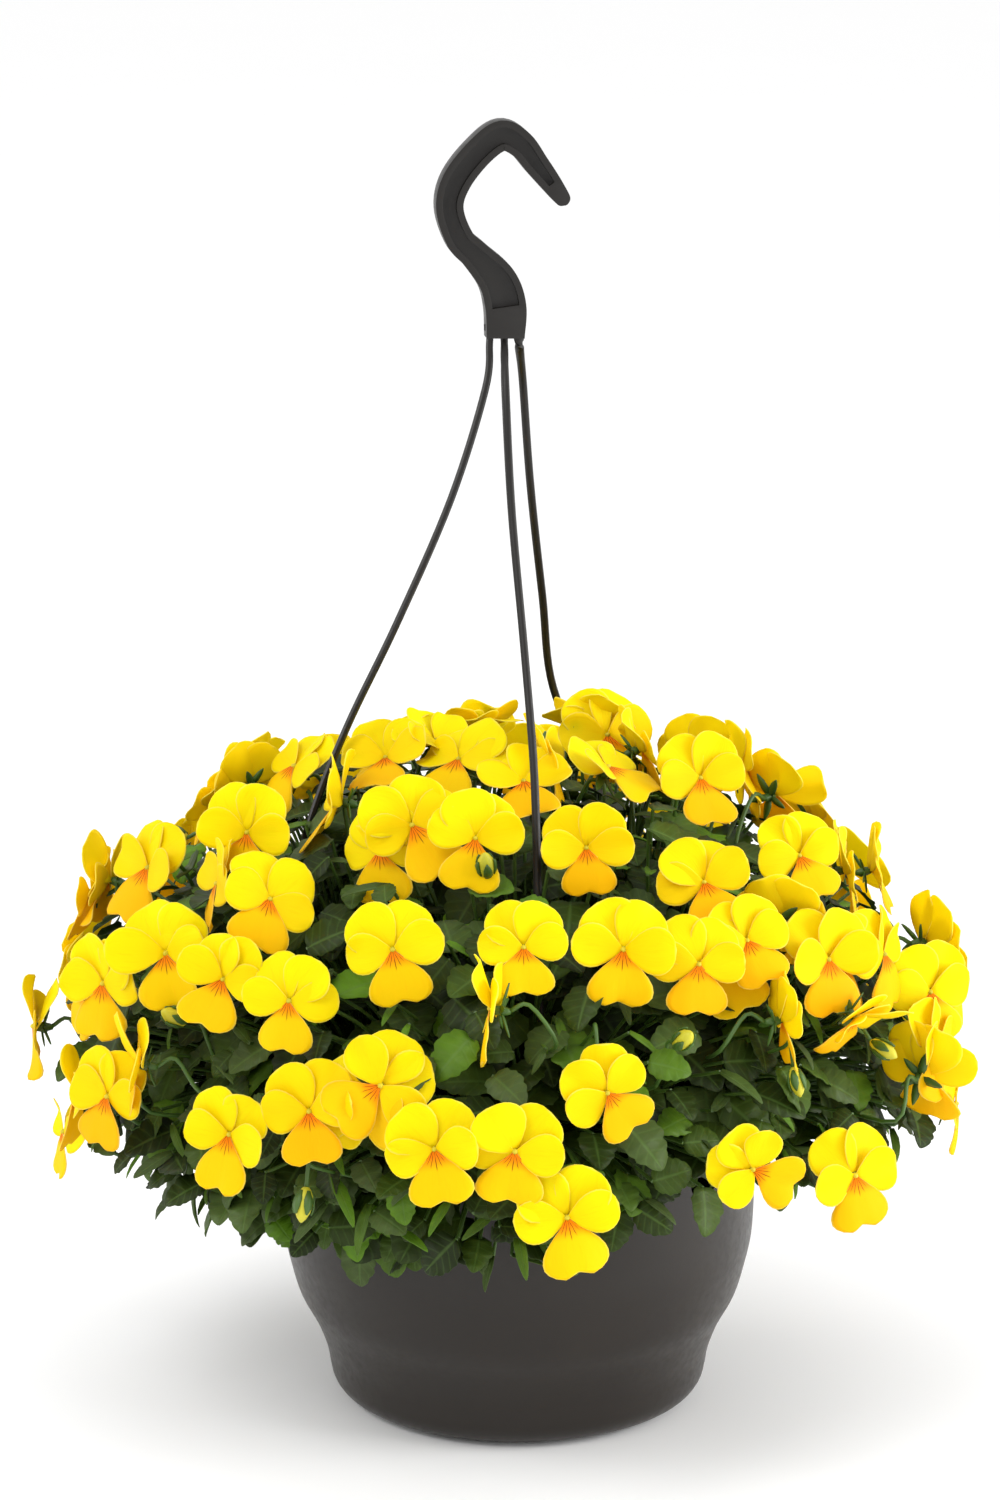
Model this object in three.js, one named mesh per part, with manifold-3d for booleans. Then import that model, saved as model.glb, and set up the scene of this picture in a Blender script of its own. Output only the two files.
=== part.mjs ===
// Hanging basket of violas: a moulded pot on a one-piece three-legged hanger, filled with soil
// and planted with five viola plants. Millimetres, +Z up. The front of the basket faces -Y.
// The origin is the hook's seat, the underside of its crown, where a bracket carries the basket.
import * as THREE from "three";
import { mergeVertices } from "three/addons/utils/BufferGeometryUtils.js";
import Module from "manifold-3d";

const wasm = await Module();
wasm.setup();

// Pot
const RIM_RADIUS = 115;
const POT_HEIGHT = 137;
const FLOOR = 5;
const ROUND_SEGMENTS = 36;
const CLEARANCE = 0.4;
const SLOT_COUNT = 8;
const FIRST_SLOT_AZIMUTH = 5;
const SLOT_WIDTH = 20;
const SLOT_HEIGHT = 10.5;
const SLOT_TOP = 132.5;
const SLOT_SHOULDER = 0.35;
const SLOT_ROUNDING = 0.85;
const SLOT_CUT = { inward: 12, outward: 6 };
const DRAIN_HOLES = 6;
const DRAIN_RADIUS = 4;
const DRAIN_CIRCLE = 45;
const SOIL_TOP = 116;
const SOIL_EDGE = 108;
const SOIL_HEAP = { radius: 70, drop: 2 };

// Hanger
const SEAT_X = -7;
const SEAT_HEIGHT = 606;
const HOOK_DEPTH = 10;
const HOOK_TURN = 8;
const FLANGE = 3.2;
const POCKET_DEPTH = 3.4;
const POCKET_SPAN = { from: 0.13, to: 0.93 };
const BLOCK_BOTTOM = -87.3;
const LEG_RADIUS = 1.9;
const LEG_OFFSET = 118;
const LEG_PLUMB_FROM = 150;
const CLIP_SIZE = { width: 12, height: 6, head: 3, peg: 13 };

// Plants
const PLANT_COUNT = 5;
const CROWN_CIRCLE = 58;
const MOUND = { leanAtSides: -9, leanAtFront: 2.5, radius: 223, middle: 175, above: 152, below: 95 };
const LEAF_DEPTH = 0.86;
const LEAF_TOP_ANGLE = 74;
const LEAF_LOW_ANGLE = -28;
const LEAF_THICKNESS = 1.4;
const LEAVES_PER_PLANT = 9;
const LEAF_SWEEP = 54;
const LEAF_PITCH = 35;
const SHORTEST_LEAF = 34;
const CROWN_SIZE = { radius: 13, height: 9, lift: 5 };
const STALK_RADIUS = 1.4;
const STALK_BEND = { mostOut: 96, mostShare: 0.55, overRim: 22 };
const PETAL_THICKNESS = 2;
const PETAL_REACH = 25;
const CALYX = { radius: 4.5, length: 10 };

const finish = {
  pot: new THREE.MeshStandardMaterial({ color: "#3e3a37", roughness: 0.5, metalness: 0 }),
  soil: new THREE.MeshStandardMaterial({ color: "#2b1d14", roughness: 0.95, metalness: 0 }),
  hanger: new THREE.MeshStandardMaterial({ color: "#35322f", roughness: 0.45, metalness: 0 }),
  foliage: new THREE.MeshStandardMaterial({ color: "#35501c", roughness: 0.6, metalness: 0 }),
  petals: new THREE.MeshStandardMaterial({ color: "#ffe100", roughness: 0.6, metalness: 0 }),
  bud: new THREE.MeshStandardMaterial({ color: "#b9b42a", roughness: 0.6, metalness: 0 }),
};

const radians = THREE.MathUtils.degToRad;

// ---- Solids ----

function solidOf(geometry) {
  const bare = (geometry.index ? geometry.toNonIndexed() : geometry.clone());
  bare.deleteAttribute("normal");
  bare.deleteAttribute("uv");
  const merged = mergeVertices(bare, 1e-3);
  const vertProperties = new Float32Array(merged.attributes.position.array);
  const triVerts = new Uint32Array(dropFlat(merged.index.array));
  const solid = new wasm.Manifold(new wasm.Mesh({ numProp: 3, vertProperties, triVerts }));
  if (solid.volume() > 0) return solid;
  for (let i = 0; i < triVerts.length; i += 3) {
    [triVerts[i], triVerts[i + 1]] = [triVerts[i + 1], triVerts[i]];
  }
  return new wasm.Manifold(new wasm.Mesh({ numProp: 3, vertProperties, triVerts }));
}

// Triangles whose corners merged into one point, as at a lathe's poles, are left out.
function dropFlat(index) {
  const kept = [];
  for (let i = 0; i < index.length; i += 3) {
    const [a, b, c] = [index[i], index[i + 1], index[i + 2]];
    if (a !== b && b !== c && c !== a) kept.push(a, b, c);
  }
  return kept;
}

function geometryOf(solid) {
  const { vertProperties, triVerts } = solid.getMesh();
  const geometry = new THREE.BufferGeometry();
  geometry.setAttribute("position", new THREE.BufferAttribute(vertProperties, 3));
  geometry.setIndex(new THREE.BufferAttribute(triVerts, 1));
  return geometry;
}

function byVolume(solid) {
  return solid.decompose().sort((a, b) => b.volume() - a.volume());
}

// Cutting can leave crumbs, some hanging by a hair that parts once close points are merged.
function largestBody(solid) {
  return byVolume(solidOf(geometryOf(byVolume(solid)[0])))[0];
}

function joined(solids) {
  return solids.reduce((sum, next) => sum.add(next));
}

function addPiece(parent, name, solid, material) {
  const geometry = geometryOf(solid);
  geometry.computeVertexNormals();
  const mesh = new THREE.Mesh(geometry, material);
  mesh.name = name;
  parent.add(mesh);
}

// ---- Directions: azimuth 0 is the front, and grows towards +X ----

function at(azimuth, radius, height) {
  const a = radians(azimuth);
  return new THREE.Vector3(radius * Math.sin(a), -radius * Math.cos(a), height);
}

function revolved(profile) {
  const points = profile.map(([radius, height]) => new THREE.Vector2(radius, height));
  return solidOf(new THREE.LatheGeometry(points, ROUND_SEGMENTS).rotateX(Math.PI / 2));
}

function rod(points, radius, sides, steps) {
  const section = new THREE.Shape();
  for (let i = 0; i < sides; i++) {
    const a = (2 * Math.PI * i) / sides;
    section[i ? "lineTo" : "moveTo"](radius * Math.cos(a), radius * Math.sin(a));
  }
  const extrudePath = new THREE.CatmullRomCurve3(points, false, "centripetal");
  return solidOf(new THREE.ExtrudeGeometry(section, { steps, extrudePath, bevelEnabled: false }));
}

// ---- Pot and soil ----

const OUTSIDE = [
  [0, 2], [56, 2], [59, 0], [76, 0], [85, 3], [91, 10], [93.5, 25], [98.8, 39],
  [106.3, 53], [110.7, 68], [114, 86], [RIM_RADIUS, POT_HEIGHT - 1],
];
const INSIDE = [
  [83, FLOOR], [88.6, 12], [91.1, 25], [96.4, 39.5], [104, 54], [108.4, 68.5],
  [111.6, 86], [112.6, POT_HEIGHT - 1],
];

const LIP = [[RIM_RADIUS - 0.5, POT_HEIGHT], [RIM_RADIUS - 1.9, POT_HEIGHT]];

function potWall() {
  return revolved([...OUTSIDE, ...LIP, ...[...INSIDE].reverse(), [0, FLOOR]]);
}

// A D-shaped bar, flat on top and round below, that lies across the wall at one azimuth.
function slotBar(azimuth, from, to, grow) {
  const half = SLOT_WIDTH / 2 + grow;
  const low = SLOT_HEIGHT + grow;
  const outline = new THREE.Shape();
  outline.moveTo(-half, grow);
  outline.lineTo(-half, -low * SLOT_SHOULDER);
  outline.quadraticCurveTo(-half * SLOT_ROUNDING, -low, 0, -low);
  outline.quadraticCurveTo(half * SLOT_ROUNDING, -low, half, -low * SLOT_SHOULDER);
  outline.lineTo(half, grow);
  const bar = new THREE.ExtrudeGeometry(outline, {
    depth: to - from, curveSegments: 4, bevelEnabled: false,
  });
  bar.rotateX(Math.PI / 2).translate(0, -from, SLOT_TOP).rotateZ(radians(azimuth));
  return solidOf(bar);
}

function slotAzimuths() {
  return Array.from({ length: SLOT_COUNT }, (_, i) => FIRST_SLOT_AZIMUTH + (360 / SLOT_COUNT) * i);
}

function makePot() {
  let pot = potWall();
  for (const azimuth of slotAzimuths()) {
    pot = pot.subtract(
      slotBar(azimuth, RIM_RADIUS - SLOT_CUT.inward, RIM_RADIUS + SLOT_CUT.outward, 0),
    );
  }
  for (let i = 0; i < DRAIN_HOLES; i++) {
    const drill = new THREE.CylinderGeometry(DRAIN_RADIUS, DRAIN_RADIUS, 4 * FLOOR, 10);
    const place = at((360 / DRAIN_HOLES) * i, DRAIN_CIRCLE, 0);
    pot = pot.subtract(solidOf(drill.rotateX(Math.PI / 2).translate(place.x, place.y, place.z)));
  }
  return pot;
}

// The soil fills the pot to its rounded top, at a small gap from the wall.
function makeSoil(grow) {
  const gap = CLEARANCE - grow;
  const side = INSIDE.filter(([, height]) => height < SOIL_EDGE);
  const wall = side.map(([radius, height]) => [radius - gap, height + gap]);
  const [[lowRadius, low], [highRadius, high]] = INSIDE.slice(-2);
  const edge = THREE.MathUtils.mapLinear(SOIL_EDGE, low, high, lowRadius, highRadius) - gap;
  const heap = [SOIL_HEAP.radius, SOIL_TOP - SOIL_HEAP.drop + grow];
  return revolved([[0, FLOOR + gap], ...wall, [edge, SOIL_EDGE + grow], heap, [0, SOIL_TOP + grow]]);
}

// ---- Hanger ----

// Middle line of the hook from its tip to the leg block: across, up, and half the width there.
const HOOK_SPINE = [
  [28.6, -24.9, 0.8], [27.2, -22.6, 3.7], [21.2, -14.6, 4.9], [14.7, -6.2, 5.7], [7.5, 3, 6.4],
  [-1.4, 7.2, 7.1], [-11.7, 0.2, 6.9], [-22.3, -13, 6.9], [-25.8, -26, 6.4], [-21, -40.5, 6.6],
  [-13.5, -48.4, 7], [-3.5, -60, 8.9], [0.4, -72.5, 9.6], [0.3, BLOCK_BOTTOM, 8.9],
];

function hookOutline(inset, from, to, samples) {
  const spine = new THREE.CatmullRomCurve3(HOOK_SPINE.map((p) => new THREE.Vector3(...p)));
  const left = [];
  const right = [];
  for (let i = 0; i <= samples; i++) {
    const t = from + ((to - from) * i) / samples;
    const middle = spine.getPoint(t);
    const along = spine.getTangent(t).setZ(0).normalize();
    const half = Math.max(middle.z - inset, 0.4);
    left.push(new THREE.Vector2(middle.x - along.y * half, middle.y + along.x * half));
    right.push(new THREE.Vector2(middle.x + along.y * half, middle.y - along.x * half));
  }
  return new THREE.Shape([...left, ...right.reverse()]);
}

function hookPlate(outline, depth, start) {
  const plate = new THREE.ExtrudeGeometry(outline, { depth, bevelEnabled: false });
  return solidOf(plate.rotateX(Math.PI / 2).translate(0, start + depth, 0));
}

// An I-shaped section: a full-depth rim round a thinner web, with the leg block left solid.
function makeHook() {
  const pocket = hookOutline(FLANGE, POCKET_SPAN.from, POCKET_SPAN.to, 18);
  const body = hookPlate(hookOutline(0, 0, 1, 26), HOOK_DEPTH, -HOOK_DEPTH / 2);
  const front = hookPlate(pocket, POCKET_DEPTH + 1, -HOOK_DEPTH / 2 - 1);
  const back = hookPlate(pocket, POCKET_DEPTH + 1, HOOK_DEPTH / 2 - POCKET_DEPTH);
  const hook = body.subtract(front).subtract(back);
  return hook.rotate([0, 0, HOOK_TURN]).translate([SEAT_X, 0, SEAT_HEIGHT]);
}

// Each leg: where it leaves the block, the azimuth it bows out in, the slot it ends in, and how
// far its upper part is drawn across towards the block.
const LEGS = [
  { across: -6.6, bow: -85, slot: -85, drawn: 1.3 },
  { across: 0.3, bow: 5, slot: 5, drawn: -7.5 },
  { across: 7.2, bow: 168, slot: 140, drawn: -1.5 },
];
// The bow all legs share: radius from the pot's axis, height over its base, share of the draw.
const LEG_BOW = [
  [17, 494, 1], [33, 442, 0.8], [58, 383, 0.32], [82, 332, 0], [100, 285, 0], [112, 232, 0],
  [LEG_OFFSET, 185, 0],
];

function legPath({ across, bow, slot, drawn }, grow) {
  const top = new THREE.Vector3(SEAT_X + across, 0, SEAT_HEIGHT + BLOCK_BOTTOM + 6);
  const bottom = new THREE.Vector3(SEAT_X + across, 0, SEAT_HEIGHT + BLOCK_BOTTOM - 3);
  const points = LEG_BOW.map(([radius, height, share], i) => {
    const swing = Math.max(0, i - 3) / (LEG_BOW.length - 4);
    return at(bow + (slot - bow) * swing, radius, height).add(new THREE.Vector3(drawn * share, 0, 0));
  });
  const end = at(slot, LEG_OFFSET, SLOT_TOP - CLIP_SIZE.height - CLEARANCE - grow);
  return [top, bottom, ...points, at(slot, LEG_OFFSET, LEG_PLUMB_FROM), end];
}

// The clip is a peg through the pot's slot with a wider head behind the wall.
function makeClip(slot, grow) {
  const { width, height, head, peg: reach } = CLIP_SIZE;
  const middle = SLOT_TOP - CLEARANCE - height / 2;
  const tall = height + 2 * grow;
  const peg = new THREE.BoxGeometry(width / 2 + 2 * grow, reach, tall);
  peg.translate(0, reach / 2 - LEG_OFFSET - 1, middle);
  const bar = new THREE.BoxGeometry(width + 2 * grow, head + 2 * grow, tall);
  bar.translate(0, reach - head - LEG_OFFSET, middle);
  const turn = radians(slot);
  return solidOf(peg.rotateZ(turn)).add(solidOf(bar.rotateZ(turn)));
}

function makeLegs(grow) {
  const parts = LEGS.flatMap((leg) => [
    rod(legPath(leg, grow), LEG_RADIUS + grow, 6, 18),
    makeClip(leg.slot, grow),
  ]);
  return joined(parts);
}

// ---- Flowers and buds ----

function moundRadius(height) {
  const reach = height > MOUND.middle ? MOUND.above : MOUND.below;
  return MOUND.radius * Math.sqrt(Math.max(0.02, 1 - ((height - MOUND.middle) / reach) ** 2));
}

// A point of the mound, which grows further out on its left than on its right.
function onMound({ azimuth, radius, height }) {
  const sideways = Math.sin(radians(azimuth)) ** 2;
  const place = at(azimuth, radius, height);
  place.x += THREE.MathUtils.lerp(MOUND.leanAtFront, MOUND.leanAtSides, sideways);
  return place;
}

// Petals as lobes: direction from straight up, reach and half-width, as parts of the flower's size.
const PETALS = [
  { turn: -30, reach: 0.98, spread: 22 },
  { turn: 30, reach: 0.98, spread: 22 },
  { turn: 82, reach: 0.95, spread: 20 },
  { turn: 180, reach: 1.02, spread: 32, tip: 1.13 },
  { turn: 278, reach: 0.95, spread: 20 },
];
const PETAL_NOTCH = 0.6;

function petalOutline(size, grow) {
  const points = [];
  const put = (turn, reach) => {
    const radius = reach * PETAL_REACH * size + grow;
    points.push(new THREE.Vector2(radius * Math.sin(radians(turn)), radius * Math.cos(radians(turn))));
  };
  PETALS.forEach((petal, i) => {
    const next = PETALS[(i + 1) % PETALS.length];
    const gap = (next.turn + 360 - petal.turn) % 360;
    put(petal.turn - petal.spread, petal.reach);
    if (petal.tip) put(petal.turn, petal.tip);
    put(petal.turn + petal.spread, petal.reach);
    put(petal.turn + gap / 2, PETAL_NOTCH);
  });
  return new THREE.Shape(points);
}

// Turns local axes (right, up, facing) to a heading, a pitch above level and a roll.
function facing({ heading, pitch = 0, roll = 0 }, place) {
  const [h, p] = [radians(heading), radians(pitch)];
  const normal = new THREE.Vector3(Math.cos(p) * Math.sin(h), -Math.cos(p) * Math.cos(h), Math.sin(p));
  const up = new THREE.Vector3(-Math.sin(p) * Math.sin(h), Math.sin(p) * Math.cos(h), Math.cos(p));
  up.applyAxisAngle(normal, radians(roll));
  const right = new THREE.Vector3().crossVectors(up, normal);
  return new THREE.Matrix4().makeBasis(right, up, normal).setPosition(place);
}

// One flower: five joined petals in front of the green calyx that holds them.
function makeFlower(flower, grow) {
  const plate = new THREE.ExtrudeGeometry(petalOutline(flower.size, grow), {
    depth: PETAL_THICKNESS + 2 * grow, bevelEnabled: false,
  });
  plate.translate(0, 0, -grow);
  const length = CALYX.length + grow;
  const calyx = new THREE.ConeGeometry(CALYX.radius + grow, length, 5);
  calyx.rotateX(-Math.PI / 2).translate(0, 0, 0.5 - length / 2);
  const matrix = facing(flower, onMound(flower));
  return solidOf(plate.applyMatrix4(matrix)).add(solidOf(calyx.applyMatrix4(matrix)));
}

// A flower's stalk ends a little behind its calyx, and a bud's at its base.
function stalkEnd(flower) {
  const back = new THREE.Vector3(0, 0, 1 - CALYX.length);
  return back.applyMatrix4(facing(flower, onMound(flower)));
}

// Flowers on the front, placed by hand: azimuth, height over the pot's base, heading, pitch, roll.
const FRONT_FLOWERS = [
  [5, 162, 5, 5, 8], [-1, 193, 0, 8, -6], [-10, 193, -12, 5, 14], [10, 217, 12, 0, 35],
  [-17, 218, -6, 10, -50], [-25, 204, -14, 8, 10], [-35, 188, -24, 0, -8], [28, 177, 14, 0, 60],
  [45, 160, 24, 5, 5], [-55, 188, -38, 5, 0], [-50, 207, -85, 5, 0], [0, 272, 0, 12, 5],
  [15, 270, 6, 10, -5], [-19, 269, -6, 15, 12], [-31, 246, -18, 15, 0], [-42, 249, -22, 12, -15],
  [-54, 252, -26, 10, 8], [-63, 232, -40, 5, 0], [26, 262, 12, 15, -5], [36, 267, 22, 20, 12],
  [49, 253, 34, 10, 0], [62, 246, 62, 5, 0], [-11, 306, 0, 15, -8], [14, 303, 2, 15, 6],
  [-27, 308, 14, 20, 20], [-43, 279, 30, 25, -30], [35, 288, 12, 30, 15], [64, 286, 26, 15, 10],
  [66, 200, 60, 5, -10], [80, 236, 110, 5, 0], [77, 160, 80, 0, 5], [-76, 146, -80, 5, 0],
  [-87, 186, -88, 0, 0], [-62, 296, -20, 10, 0], [76, 312, 24, 20, 0],
];
const BACK_FLOWERS = { count: 12, first: 105, sweep: 150, top: 310, drop: 155, size: 0.96 };
const GOLDEN_ANGLE = 137.5;
const SIZE_STEP = 0.04;

function frontFlowers() {
  return FRONT_FLOWERS.map(([azimuth, height, heading, pitch, roll], i) => ({
    azimuth, height, heading, pitch, roll, radius: moundRadius(height), size: 1 - SIZE_STEP * (i % 4),
  }));
}

// The rest of the mound is covered evenly, turning by the golden angle from the top down.
function backFlowers() {
  const { count, first, sweep, top, drop, size } = BACK_FLOWERS;
  return Array.from({ length: count }, (_, i) => {
    const azimuth = first + ((GOLDEN_ANGLE * i) % sweep);
    const height = top - (drop * (i + 0.5)) / count;
    return {
      azimuth, height, heading: azimuth + 12 * ((i % 3) - 1), pitch: 12, roll: 25 * ((i % 5) - 2),
      radius: moundRadius(height), size,
    };
  });
}

const BUDS = [
  { azimuth: -26, height: 158, heading: -26, pitch: -70 },
  { azimuth: 21, height: 236, heading: 30, pitch: 35 },
  { azimuth: 150, height: 322, heading: 150, pitch: 60 },
  { azimuth: 205, height: 170, heading: 205, pitch: -50 },
];
const BUD_SIZE = { radius: 4.2, length: 15 };

function makeBud(bud, grow) {
  const ball = new THREE.SphereGeometry(1, 6, 5);
  ball.scale(BUD_SIZE.radius + grow, BUD_SIZE.radius + grow, BUD_SIZE.length / 2 + grow);
  ball.translate(0, 0, BUD_SIZE.length / 2 - CALYX.length);
  return solidOf(ball.applyMatrix4(facing(bud, onMound(bud))));
}

// ---- Plants ----

const LEAF_OUTLINE = [
  [0, 0], [0.36, 0.16], [0.48, 0.45], [0.36, 0.8], [0, 1], [-0.36, 0.8], [-0.48, 0.45], [-0.36, 0.16],
];

function makeLeaf(place, heading, pitch, length) {
  const outline = new THREE.Shape(LEAF_OUTLINE.map(([x, y]) => new THREE.Vector2(x * length, y * length)));
  const blade = new THREE.ExtrudeGeometry(outline, { depth: LEAF_THICKNESS, bevelEnabled: false });
  return solidOf(blade.applyMatrix4(facing({ heading, pitch, roll: 180 }, place)));
}

// A stalk rises from the crown, clears the pot's rim and reaches its leaf or flower.
function makeStalk(crown, end) {
  const out = Math.hypot(end.x, end.y);
  const overRim = out > STALK_BEND.mostOut && end.z < MOUND.middle;
  const lift = overRim ? POT_HEIGHT + STALK_BEND.overRim : (crown.z + end.z) / 2;
  const share = Math.min(STALK_BEND.mostShare, STALK_BEND.mostOut / out);
  const bend = new THREE.Vector3(
    crown.x + (end.x - crown.x) * share, crown.y + (end.y - crown.y) * share, lift,
  );
  const near = new THREE.Vector3().lerpVectors(bend, end, 0.6).add(new THREE.Vector3(0, 0, 5));
  return rod([crown, bend, near, end], STALK_RADIUS, 3, 4);
}

function leafSpots(plant) {
  return Array.from({ length: LEAVES_PER_PLANT }, (_, i) => {
    const azimuth = plant.azimuth + (((GOLDEN_ANGLE * (i + 1)) % LEAF_SWEEP) - LEAF_SWEEP / 2);
    const share = (i + 0.5) / LEAVES_PER_PLANT;
    const angle = radians(LEAF_TOP_ANGLE + (LEAF_LOW_ANGLE - LEAF_TOP_ANGLE) * share);
    const reach = angle > 0 ? MOUND.above : MOUND.below;
    const height = MOUND.middle + LEAF_DEPTH * reach * Math.sin(angle);
    return { azimuth, height, radius: LEAF_DEPTH * MOUND.radius * Math.cos(angle) };
  });
}

// The slice of the mound that belongs to one plant, so that neighbours stay clear of each other.
function plantSlice(azimuth) {
  const half = 180 / PLANT_COUNT;
  const reach = 2 * MOUND.radius;
  const corner = at(azimuth, CLEARANCE, 0);
  const ring = [-half, 0, half].map((turn) => at(azimuth + turn, reach, 0).add(corner));
  const outline = new THREE.Shape([corner, ...ring].map((p) => new THREE.Vector2(p.x, p.y)));
  return solidOf(new THREE.ExtrudeGeometry(outline, { depth: reach, bevelEnabled: false }));
}

function makePlant(plant, heads, keepClear) {
  const crown = at(plant.azimuth, CROWN_CIRCLE, SOIL_TOP);
  const { radius, height, lift } = CROWN_SIZE;
  const base = new THREE.SphereGeometry(1, 7, 5).scale(radius, radius, height);
  const parts = [solidOf(base.translate(crown.x, crown.y, crown.z + lift))];
  for (const spot of leafSpots(plant)) {
    const place = onMound(spot);
    const length = SHORTEST_LEAF + 3 * ((spot.height * 7) % 4);
    parts.push(makeStalk(crown, place), makeLeaf(place, spot.azimuth, LEAF_PITCH, length));
  }
  for (const head of heads) parts.push(makeStalk(crown, stalkEnd(head)));
  const whole = joined(parts).intersect(plantSlice(plant.azimuth)).subtract(keepClear);
  return largestBody(whole);
}

function nearestPlant(plants, azimuth) {
  const apart = (plant) => Math.abs(((azimuth - plant.azimuth + 540) % 360) - 180);
  return plants.reduce((best, plant) => (apart(plant) < apart(best) ? plant : best));
}

// ---- The basket ----

const basket = new THREE.Group();
const assembly = new THREE.Group();
assembly.position.set(-SEAT_X, 0, -SEAT_HEIGHT);
basket.add(assembly);

addPiece(assembly, "pot", makePot(), finish.pot);
addPiece(assembly, "potting_soil", makeSoil(0), finish.soil);
addPiece(assembly, "hanger", makeHook().add(makeLegs(0)), finish.hanger);

// Room that plants and flowers leave: the legs and soil a little grown, the pot nudged every way,
// and the slots open right through.
const wall = potWall();
const nudges = [[0, 0, CLEARANCE], [0, 0, -CLEARANCE]];
for (const azimuth of slotAzimuths()) {
  const side = at(azimuth, CLEARANCE, 0);
  nudges.push([side.x, side.y, 0]);
}
const openSlots = slotAzimuths().map((azimuth) => slotBar(
  azimuth, RIM_RADIUS - SLOT_CUT.inward - 1, RIM_RADIUS + SLOT_CUT.inward + 1, 1,
));
let keepClear = joined([
  makeLegs(CLEARANCE), makeSoil(1.5 * CLEARANCE), ...nudges.map((n) => wall.translate(n)), ...openSlots,
]);

const flowers = [...frontFlowers(), ...backFlowers()];
flowers.forEach((flower, i) => {
  const head = largestBody(makeFlower(flower, 0).subtract(keepClear));
  keepClear = keepClear.add(makeFlower(flower, CLEARANCE));
  addPiece(assembly, `viola_flower_${String(i + 1).padStart(2, "0")}`, head, finish.petals);
});

const buds = BUDS.map((bud) => ({ ...bud, radius: moundRadius(bud.height) }));
for (const bud of buds) {
  const head = largestBody(makeBud(bud, 0).subtract(keepClear));
  keepClear = keepClear.add(makeBud(bud, CLEARANCE));
  addPiece(assembly, `viola_bud_${buds.indexOf(bud) + 1}`, head, finish.bud);
}

const plants = Array.from({ length: PLANT_COUNT }, (_, i) => ({
  name: `viola_plant_${i + 1}_stems_and_leaves`, azimuth: (360 / PLANT_COUNT) * i,
}));
for (const plant of plants) {
  const heads = [...flowers, ...buds].filter((head) => nearestPlant(plants, head.azimuth) === plant);
  addPiece(assembly, plant.name, makePlant(plant, heads, keepClear), finish.foliage);
}

export default basket;
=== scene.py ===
import math
import random

import bmesh
import bpy
import numpy as np
from mathutils import Matrix, Vector


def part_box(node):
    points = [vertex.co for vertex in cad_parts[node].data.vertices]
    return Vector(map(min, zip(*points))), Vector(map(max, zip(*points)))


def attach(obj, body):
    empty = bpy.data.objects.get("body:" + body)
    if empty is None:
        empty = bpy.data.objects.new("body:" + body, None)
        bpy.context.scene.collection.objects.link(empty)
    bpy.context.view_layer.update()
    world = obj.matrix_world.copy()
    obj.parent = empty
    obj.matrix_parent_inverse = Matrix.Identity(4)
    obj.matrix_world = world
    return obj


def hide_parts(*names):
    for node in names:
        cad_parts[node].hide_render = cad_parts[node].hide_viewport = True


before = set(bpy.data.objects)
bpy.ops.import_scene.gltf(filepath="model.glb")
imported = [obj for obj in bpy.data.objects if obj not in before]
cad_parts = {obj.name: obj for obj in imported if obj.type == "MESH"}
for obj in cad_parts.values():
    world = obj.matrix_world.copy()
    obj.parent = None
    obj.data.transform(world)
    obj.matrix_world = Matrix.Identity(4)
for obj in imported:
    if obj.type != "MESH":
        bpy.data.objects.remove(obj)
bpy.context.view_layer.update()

# The frame's origin is the hook's seat. Heights below are over the pot's base, in millimetres,
# and azimuths run from the front, -Y, towards +X, as a gardener would turn the basket.
pot_low, pot_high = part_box("pot")
POT_X = (pot_low.x + pot_high.x) / 2
BASE_Z = pot_low.z
RIM_RADIUS = (pot_high.x - pot_low.x) / 2 * 1000
POT_HEIGHT = (pot_high.z - pot_low.z) * 1000


# ---------------------------------------------------------------------------------------------
# Pot. Injection-moulded polypropylene, dark anthracite, one shell about 3 mm thick with a foot
# ring, a low belly, a waist and a flared upper wall. Eight D-shaped slots under the rim take the
# hanger's clips. The mould leaves a satin skin with a very fine grain.
# ---------------------------------------------------------------------------------------------
def place(azimuth, radius, height):
    """The point at an azimuth, a radius from the pot's axis and a height over its base."""
    a = math.radians(azimuth)
    return Vector((POT_X, 0, BASE_Z)) + Vector((radius * math.sin(a), -radius * math.cos(a), height)) / 1000


def smooth_path(points, steps):
    """Points on a smooth curve through these, with this many steps from each to the next."""
    held = [2 * np.array(points[0]) - np.array(points[1]), *map(np.array, points)]
    held.append(2 * held[-1] - held[-2])
    path = []
    for a, b, c, d in zip(held, held[1:], held[2:], held[3:]):
        for t in np.arange(steps) / steps:
            path.append(0.5 * (2 * b + (c - a) * t + (2 * a - 5 * b + 4 * c - d) * t**2
                               + (3 * b - a - 3 * c + d) * t**3))
    return [*path, held[-2]]


def new_object(name, points, faces, smooth=True):
    mesh = bpy.data.meshes.new(name)
    mesh.from_pydata([tuple(p) for p in points], [], faces)
    mesh.validate()
    if smooth:
        mesh.shade_smooth()
    made = bpy.data.objects.new(name, mesh)
    bpy.context.scene.collection.objects.link(made)
    return made


def revolved(profile, segments):
    """Vertices and faces of a profile that starts and ends on the pot's axis, turned round it."""
    inner = profile[1:-1]
    points = [place(0, 0, profile[0][1]), place(0, 0, profile[-1][1])]
    for radius, height in inner:
        points += [place(360 * k / segments, radius, height) for k in range(segments)]
    faces = []
    for k in range(segments):
        after = (k + 1) % segments
        faces.append((0, 2 + k, 2 + after))
        last = 2 + (len(inner) - 1) * segments
        faces.append((1, last + after, last + k))
        for i in range(len(inner) - 1):
            low, high = 2 + i * segments, 2 + (i + 1) * segments
            faces.append((low + k, high + k, high + after, low + after))
    return points, [tuple(reversed(f)) for f in faces]


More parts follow.
